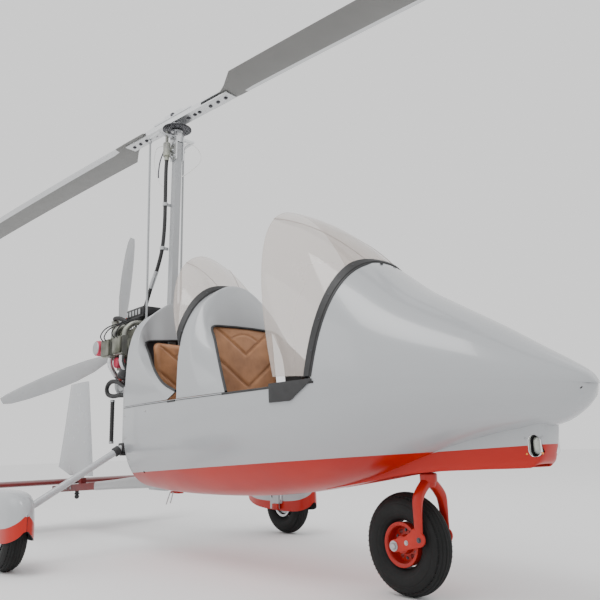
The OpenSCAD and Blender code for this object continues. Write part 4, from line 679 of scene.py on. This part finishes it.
# ---- engine bay -----------------------------------------------------------------------------
b = Bag()
def clamp(bag, c, ax, r): bag.lathe([(r, -5), (r + 2, -5), (r + 2, 5), (r, 5)], c, ax, 1, 24)
b.tube(LOOP, 13, 0, 18, 10, ribs=1)
b.tube([V(-398, -205, 612), V(-398, -205, 700), V(-398, -205, 800), V(-398, -205, 880)], 13, 0, 18, 12, ribs=1)
for z in (620, 872): clamp(b, (-398, -205, z), (0, 0, 1), 13.5)
for x, z in ((-190, 936), (-190, 900)): clamp(b, (x, -205, z), (1, 0, 0), 13.5)
b.make("coiled_hoses", "airframe", [RUBBER, STEEL], ["cooling_hoses"], "black_rubber")
b = Bag()
for s in (-1, 1):
    for x in (-215, -375):
        for k in range(9): b.lathe([(59, 0), (66, 0.8), (66, 3), (59, 3.8)], (x, s * (160 + 8 * k), 1200), (0, s, 0), 0, 40)
        b.box((x - 52, s * 268, 1150), (x + 52, s * 284, 1250), 1, 6)
        for dx, dz in ((-42, -40), (42, -40), (-42, 40), (42, 40)): b.bolt((x + dx, s * 268.5, 1200 + dz), (0, s, 0), 6, 7, 2, False)
        b.tube([V(x, s * 225, 1262), V(x, s * 215, 1305), V(x + 12, s * 175, 1342), V(x + 30, s * 120, 1352)], 17, 3, 16, 8)
        b.tube([V(x + 20, s * 278, 1238), V(x + 24, s * 296, 1270), V(x + 30, s * 250, 1330), V(x + 60, s * 110, 1384)], 4, 4, 8, 8)
        b.tube([V(x - 22, s * 278, 1238), V(x - 20, s * 300, 1282), V(x - 4, s * 246, 1344), V(x + 50, s * 90, 1392)], 4, 4, 8, 8)
        b.tube([V(x, s * 240, 1140), V(x - 2, s * 238, 1095), V(x - 12, s * 200, 1040), V(x - 16, s * 150, 1000)], 16, 5, 16, 8)
    b.lathe([(0, 0), (30, 0), (34, 6), (34, 62), (26, 74), (26, 96), (0, 96)], (-462, s * 150, 1306), (0.2, s * 0.35, 1), 3, 28)
    b.tube([V(-452, s * 172, 1388), V(-430, s * 190, 1406), V(-380, s * 180, 1400), V(-330, s * 150, 1372)], 14, 4, 14, 8)
b.box((-352, -150, 1380), (-128, -20, 1448), 6, 8); b.box((-340, -156, 1392), (-140, -150, 1436), 4, 3); b.box((-352, 20, 1380), (-160, 140, 1430), 6, 8)
for k in range(5): b.box((-335 + 40 * k, -158, 1398), (-315 + 40 * k, -155, 1430), 2, 1)
b.rod((-300, -90, 1320), (-300, -90, 1382), 14, 5); b.rod((-200, -90, 1320), (-200, -90, 1382), 14, 5); b.rod((-250, 80, 1320), (-250, 80, 1382), 14, 5)
b.lathe([(0, 0), (46, 0), (50, 8), (50, 96), (40, 112), (22, 116), (22, 128), (0, 128)], (-185, 205, 1010), (0, 0, 1), 3, 36)
b.lathe([(0, 0), (36, 0), (40, 5), (40, 78), (34, 86), (0, 86)], (-240, -176, 1075), (0, -0.6, -1), 6, 32)
b.lathe([(0, 0), (48, 0), (52, 10), (52, 70), (44, 84), (0, 84)], (-440, 0, 1320), (0, 0, 1), 1, 36)
rr = random.Random(3)
for k in range(26):
    x, s = rr.uniform(-450, -140), rr.choice((-1, 1)); y = s * rr.uniform(60, 205); z = rr.uniform(1325, 1372) if abs(y) < 145 else rr.uniform(1262, 1320)
    q = V(rr.uniform(-70, 70), -s * rr.uniform(0, 50), rr.uniform(-14, 26))
    b.tube([V(x, y, z), V(x, y, z) + q * 0.4 + V(0, 0, 16), V(x, y, z) + q], rr.choice((4, 5.5, 8)), rr.choice((2, 4, 4, 5, 1)), 8, 6)
for k in range(14):
    s = rr.choice((-1, 1)); x, z = rr.uniform(-455, -150), rr.uniform(1090, 1300); b.bolt((x, s * 150, z), (0, s, 0), 6.5, 6, 2)
b.tube([V(-150, -150, 1100), V(-168, -196, 1060), V(-172, -216, 1000), V(-168, -210, 966)], 15, 4, 16, 8)
b.tube([V(-200, -140, 1080), V(-240, -176, 1030), V(-330, -190, 1000), V(-420, -150, 985)], 9, 7, 12, 8)
b.tube([V(-130, -160, 1210), V(-110, -196, 1150), V(-112, -214, 1060), V(-150, -222, 990)], 7, 4, 10, 8)
for k in range(4):
    b.tube([V(-470, -60 + 12 * k, 1290), V(-520, -110 - 8 * k, 1320 + 6 * k), V(-440, -170, 1350), V(-330, -156, 1400)], 3, rr.choice((4, 7)), 8, 8)
b.make("engine_details", "airframe", [CAST, OLIVE, STEEL, CAST, RUBBER, ALU, BLACK, REDP])
b = Bag()
for s in (-1, 1):
    R = [(0, 0), (34, 0), (36, 5)]
    for k in range(12): R += [(36 + k * 0.9, 8 + 7 * k), (40.5 + k * 0.9, 11 + 7 * k)]
    R += [(47, 94), (48, 104), (42, 110), (0, 112)]
    b.lathe(R, (-500, s * 175, 1215), (0, s, 0), 0, 40); b.lathe([(30, 0), (40, 2), (40, 12), (34, 14)], (-500, s * 170, 1215), (0, s, 0), 1, 32)
    b.lathe([(0, 0), (30, 2), (38, 1), (44, -3)], (-500, s * 287, 1215), (0, s, 0), 1, 32)
b.lathe([(0, 0), (30, 0), (34, 5), (34, 50), (28, 56), (0, 57)], (-338, -168, 1108), (0, -1, 0), 0, 30)
b.make("filters", "airframe", [FILTER, STEEL], ["air_filters"], "red_filter")
b = Bag()
b.lathe([(0, 0), (52, 0), (64, 8), (65, 20), (65, 320), (64, 332), (52, 340), (0, 340)], (-400, -170, 980), (0, 1, 0), 0, 44)
for y in (-150, -60, 60, 150): b.lathe([(65, -4), (67.5, -3), (67.5, 3), (65, 4)], (-400, y, 980), (0, 1, 0), 0, 44)
for s in (-1, 1): b.tube([V(-400, s * 120, 1020), V(-392, s * 120, 1045), V(-380, s * 120, 1074)], 18, 0, 18, 6)
b.tube([V(-440, 150, 950), V(-480, 175, 930), V(-520, 180, 915)], 22, 0, 20, 6)
b.make("silencer", "airframe", [STEEL], ["exhaust"], "grey_steel")
b = Bag()
for k in range(42):
    z = 597 + 8 * k; b.box((-134, -222, z), (-128, 222, z + 2.2), 0, 0.4)
    b.box((-180, -222, z), (-174.5, 222, z + 2.2), 0, 0.4)
for s in (-1, 1):
    b.box((-182, s * 222, 580), (-126, s * 240, 944), 1, 4)
    for z in (620, 780, 920): b.bolt((-154, s * 240, z), (0, s, 0), 7, 6, 2)
b.make("radiator_core", "airframe", [RADM, GPAINT, STEEL])
# Rear frame members beside the radiator, and the leg blocks
b = Bag()
for s in (-1, 1):
    b.tube([V(-44, s * 252, 1010), V(-60, s * 256, 900), V(-66, s * 256, 700), V(-64, s * 250, 585)], 9, 0, 14, 6)
    b.box((-108, s * 232, 560), (-44, s * 300, 612), 1, 6)
    b.box((-100, s * 225, 540), (-50, s * 296, 560), 1, 5)
    for z in (640, 700, 760, 830, 900): b.bolt((-66, s * 264, z), (0, s, 0), 5.5, 5, 2); b.rod((-66, s * 240, z), (-66, s * 262, z), 4, 2, 10)
b.make("rear_frame", "airframe", [STEEL, RUBBER, STEEL])
# Drains under the belly
b = Bag()
b.box((62, -50, 322), (150, -14, 334), 0, 3)
b.tube([V(80, -60, 330), V(70, -66, 300), V(52, -70, 262)], 3, 1, 8, 6); b.tube([V(110, -60, 330), V(104, -64, 300), V(98, -70, 270)], 3, 1, 8, 6)
b.make("drains", "airframe", [REDP, STEEL])

# ---- propeller -------------------------------------------------------------------------------
b = Bag()
for k0 in (0, 120, 240):
    a = (-5.5 + k0) * DEG; ca, sa = math.cos(a), math.sin(a); R = []
    st = [[lerp(p[q], n_[q], t) for q in range(4)] for (p, n_) in zip(PROP[:-1], PROP[1:]) for t in (0, 0.25, 0.5, 0.75)] + [PROP[-1]]
    for r, c, th, g_ in st:
        row = []
        for q in foil(th / c, 14):
            u_, w_ = (0.35 - q[0]) * c, q[1] * c; x, y, z = -u_ * sin(g_) + w_ * cos(g_), u_ * cos(g_) + w_ * sin(g_), r
            row.append(V(x - 750, y * ca - z * sa, y * sa + z * ca + 1240))
        R.append(row)
    b.skin(R, 0, rows=lambda i, j: 0)
b.make("propeller_blade_skins", "propeller", [PROPM], ["propeller_blades"], "propeller_white", 60)
b = Bag()
for k in range(6):
    a = 60 * k * DEG; b.bolt((-794, 45 * math.cos(a), 1240 + 45 * math.sin(a)), (-1, 0, 0), 7, 9, 0)
    a = (60 * k + 24.5) * DEG; b.rod((-735, 58 * math.cos(a), 1240 + 58 * math.sin(a)), (-765, 58 * math.cos(a), 1240 + 58 * math.sin(a)), 6, 1, 12)
for k0 in (0, 120, 240):
    a = (-5.5 + k0) * DEG; d = V(0, -math.sin(a), math.cos(a)); b.lathe([(34, 0), (38, 3), (38, 22), (32, 27), (26, 28)], V(-750, 0, 1240) + d * 54, d, 1, 32)
b.make("propeller_fittings", "propeller", [STEEL, DSTEEL])

# ---- landing gear ------------------------------------------------------------------------------
def spat_band(x): return at(SPAT, 3, x) + 62 + 0.05 * x
for s, nm in ((-1, "right"), (1, "left")):
    b = Bag(); g = []; K = 48; xs = [lerp(-470, 225, (1 - math.cos(math.pi * i / 44)) / 2) for i in range(45)]
    for x in xs:
        hb, zt, zb = at(SPAT, 1, x), at(SPAT, 2, x), at(SPAT, 3, x); zs = min(spat_band(x), zt - 12)
        q = ((zs - zb) / (zt - zb)) ** 2; ab = math.asin(min(q, 1)) / DEG; row = []
        for k in range(K + 1):
            a = ab * k / 8 if k <= 8 else (180 - ab + ab * (k - 40) / 8 if k >= 40 else ab + (180 - 2 * ab) * (k - 8) / 32)
            row.append(V(x, s * 910 + hb * math.copysign(abs(cos(a)) ** 0.5, cos(a)), zb + (zt - zb) * max(sin(a), 0) ** 0.5))
        g.append(row)
    g = [[V(g[0][k][0] - 5, s * 910 + (g[0][k][1] - s * 910) * 0.1, g[0][k][2]) for k in range(K + 1)]] + g + [[V(g[-1][k][0] + 5, s * 910 + (g[-1][k][1] - s * 910) * 0.1, lerp(g[-1][k][2], 248, 0.1)) for k in range(K + 1)]]
    b.sheet(g, 4.5, -1, 0, 2, rows=lambda i, j: 1 if (j < 8 or j >= 40) else 0)
    o = b.make("spat_shell_" + nm, "airframe", [WHITE, RED, INNER], ["wheel_spats"] if s < 0 else [], "white_gelcoat", 55)
b = Bag()
for s in (-1, 1):
    y = s * 836
    b.box((-96, y - 14, 196), (-6, y - 2 * s, 300), 0, 4)
    for dx, dz in ((-84, 212), (-18, 212), (-84, 286), (-18, 286), (-51, 250)): b.bolt((dx, s * 822, dz), (0, -s, 0), 8, 8, 1)
    b.box((-80, s * 800, 160), (-22, s * 816, 196), 2, 4)
    b.tube([V(-75, s * 780, 300), V(-92, s * 800, 270), V(-88, s * 818, 224), V(-70, s * 826, 190)], 4, 3, 10, 8)
    b.lathe([(19.3, 0), (23, 2), (23, 26), (19.3, 28)], (-75, s * 790, 579 - 0.575 * 490), (0, s * 0.867, -0.498), 1, 32)
    b.lathe([(19.3, 0), (27, 3), (27, 34), (19.3, 38)], (-75, s * 306, 579 - 0.575 * 6), (0, s * 0.867, -0.498), 3, 32)
b.make("axle_brackets", "airframe", [ALU, STEEL, REDP, RUBBER])

def tyre_prof(R_, ri, w):
    """Half section of a tyre: sidewalls, shoulder and a grooved tread."""
    out = []; c = R_ - w / 2; h = w / 2
    for a in np.linspace(-152, 152, 121):
        r, y = c + h * cos(a), h * sin(a)
        r = c + (r - c) * (1.0); d = 0
        if abs(a) < 62:
            for g_ in (-46, -30, -14, 0, 14, 30, 46): d = max(d, 3.0 * math.exp(-((a - g_) / 2.6) ** 4))
        for g_, e in ((74, 1.4), (92, -0.9), (112, 1.2), (128, 1.0)): d = max(d, e * math.exp(-((abs(a) - g_) / 1.6) ** 2)) if e > 0 else d
        r, y = c + (h - d) * cos(a), (h - d) * sin(a)
        if r > ri: out.append((r, y))
    return out
for nm, body, x, y, R_, nodes in (("nose_tyre_tread", "nose_wheel", 1788, 0, 192, "nose_tyre"), ("left_tyre_tread", "left_main_wheel", -50, 910, 192, "left_main_tyre"), ("right_tyre_tread", "right_main_wheel", -50, -910, 192, "right_main_tyre")):
    prof = tyre_prof(R_, 81.5, 110); b = Bag(); b.lathe(prof + [prof[0]], (x, y, R_), (0, 1, 0), 0, 120)
    for k in range(60):
        a = 2 * math.pi * k / 60; c, s_ = math.cos(a), math.sin(a)
        for yy, q in ((-39, 38), (39, 38)):
            b.box((R_ - 55 + q - 8, yy - 3.2, -1.5), (R_ - 55 + q + 2.2, yy + 3.2, 1.5), 0, 0.8, T=lambda p, c=c, s_=s_: V(x + p[0] * c - p[2] * s_, y + p[1], R_ + p[0] * s_ + p[2] * c))
    b.make(nm, body, [TYRE], [nodes], "tyre_black", 42)
b = Bag()
for s in (-1, 1):
    b.lathe([(80, 0), (83, 1), (83, 4), (78, 5), (70, 2)], (1788, s * 41, 192), (0, s, 0), 0, 72)
    for k in range(6):
        a = (60 * k + 30) * DEG; b.bolt((1788 + 50 * math.cos(a), s * 9.2, 192 + 50 * math.sin(a)), (0, s, 0), 5, 6, 3)
b.tube([V(1788 + 62, -30, 192 + 20), V(1788 + 58, -40, 192 + 18), V(1788 + 54, -48, 192 + 17)], 4, 2, 10, 4)
b.make("nose_rim_details", "nose_wheel", [REDP, STEEL, RUBBER, DSTEEL])
for body, y in (("left_main_wheel", 910), ("right_main_wheel", -910)):
    b = Bag()
    for s in (-1, 1):
        b.lathe([(80, 0), (83, 1), (83, 4), (78, 5), (70, 2)], (-50, y + s * 41, 192), (0, s, 0), 0, 72)
        for k in range(5):
            a = (72 * k + 36) * DEG; b.bolt((-50 + 50 * math.cos(a), y + s * 9.2, 192 + 50 * math.sin(a)), (0, s, 0), 6, 7, 1)
    o_ = -1 if y > 0 else 1
    b.lathe([(28, 0), (62, 0), (62, 5), (28, 5)], (-50, y + o_ * 24, 192), (0, o_, 0), 1, 48)
    b.make(body + "_rim_details", body, [ALU, STEEL])

# Nose fork, in smooth tube work
b = Bag()
b.lathe([(0, 0), (19, 0), (19, 172), (0, 172)], (1905, 0, 425), (0, 0, 1), 0, 40)
b.lathe([(19, 14), (30, 14), (33, 18), (33, 44), (28, 48), (19, 50)], (1905, 0, 408), (0, 0, 1), 0, 40)
b.lathe([(0, 0), (22, 2), (27, 10), (27, 26), (22, 34), (0, 36)], (1905, 0, 402), (0, 0, 1), 0, 36)
for s in (-1, 1):
    P = [V(1905, s * 4, 430), V(1905, s * 26, 414), V(1905, s * 52, 391), V(1905.5, s * 70, 365), V(1906, s * 76, 330), V(1906.5, s * 78, 285), V(1907, s * 79.5, 240), V(1907, s * 80, 208)]
    P = catmull(P, 7); R = []
    for i, p in enumerate(P):
        t = unit(P[min(i + 1, len(P) - 1)] - P[max(i - 1, 0)]); u_ = V(1, 0, 0); u_ = unit(u_ - t * np.dot(u_, t)); w_ = np.cross(t, u_); f = i / (len(P) - 1)
        ru, rw = lerp(20, 18.5, f), lerp(19, 6.2, smooth(0.35, 0.8, f)) if f > 0.3 else 19 - 2 * f
        R.append([p + ru * math.copysign(abs(math.cos(q)) ** 0.8, math.cos(q)) * u_ + rw * math.copysign(abs(math.sin(q)) ** 0.8, math.sin(q)) * w_ for q in np.linspace(0, 2 * math.pi, 29)[:-1]])
    b.skin(R, 0)
    A0, A1 = V(1912, s * 81, 226), V(1788, s * 81, 192); out = []
    for (cx, cz, r, a0, a1) in ((1910, 224, 27, -76, 84), (1788, 192, 23, 104, 284)):
        out += [(cx + r * cos(q), cz + r * sin(q)) for q in np.linspace(a0, a1, 19)]
    out = out[:19] + [(1886, 262), (1868, 244), (1840, 228)] + out[19:]
    for (y0, y1, gr) in ((76.8, 85.2, 1.0),):
        ctr = V(1850, 0, 208); R = [[V(lerp(ctr[0], x, q), s * y, lerp(ctr[2], z, q)) for (x, z) in out] for (y, q) in ((y0, 0.9), (y0, 0.985), (y0 + 1.5, 1), (y1 - 1.5, 1), (y1, 0.985), (y1, 0.9))]
        b.skin(R, 0)
    b.bolt((1788, s * 85, 192), (0, s, 0), 13, 11, 1); b.bolt((1911, s * 85, 222), (0, s, 0), 7, 6, 2); b.bolt((1850, s * 85, 208), (0, s, 0), 6, 5, 1)
b.rod((1788, -84, 192), (1788, 84, 192), 10, 1, 24)
for s in (-1, 1): b.lathe([(10.2, 0), (17, 0), (17, 34), (10.2, 34)], (1788, s * 42, 192), (0, s, 0), 1, 28)
b.make("fork_work", "nose_gear", [REDP, STEEL, DSTEEL], ["nose_fork"], "red_paint", 45)


# ---- stage ------------------------------------------------------------------------------
bpy.ops.mesh.primitive_plane_add(size=60, location=(0, 0, 0)); floor = bpy.context.object; floor.name = "floor"
fm = bpy.data.materials.new("floor"); fm.use_nodes = True
fb = fm.node_tree.nodes["Principled BSDF"]; fb.inputs["Base Color"].default_value = (0.9, 0.9, 0.9, 1); fb.inputs["Roughness"].default_value = 0.9
floor.data.materials.append(fm)
w = bpy.context.scene.world or bpy.data.worlds.new("world"); bpy.context.scene.world = w; w.use_nodes = True
wn, wl = w.node_tree.nodes, w.node_tree.links
bg = wn["Background"]; bg.inputs["Color"].default_value = (1, 1, 1, 1); bg.inputs["Strength"].default_value = 1.15
def area(loc, target, size, power):
    ld = bpy.data.lights.new("softbox", "AREA"); ld.size = size; ld.energy = power; ld.shape = "SQUARE"
    lo = bpy.data.objects.new("softbox", ld); bpy.context.scene.collection.objects.link(lo); lo.location = loc
    lo.rotation_euler = (Vector(target) - Vector(loc)).to_track_quat("-Z", "Y").to_euler(); return lo
area((1.5, -3.0, 6.5), (0.8, 0, 0.8), 3, 170)
area((-3, -6, 4), (0, 0, 1.2), 4, 50)
area((4, 5, 5), (0.8, 0, 0.8), 4, 30)
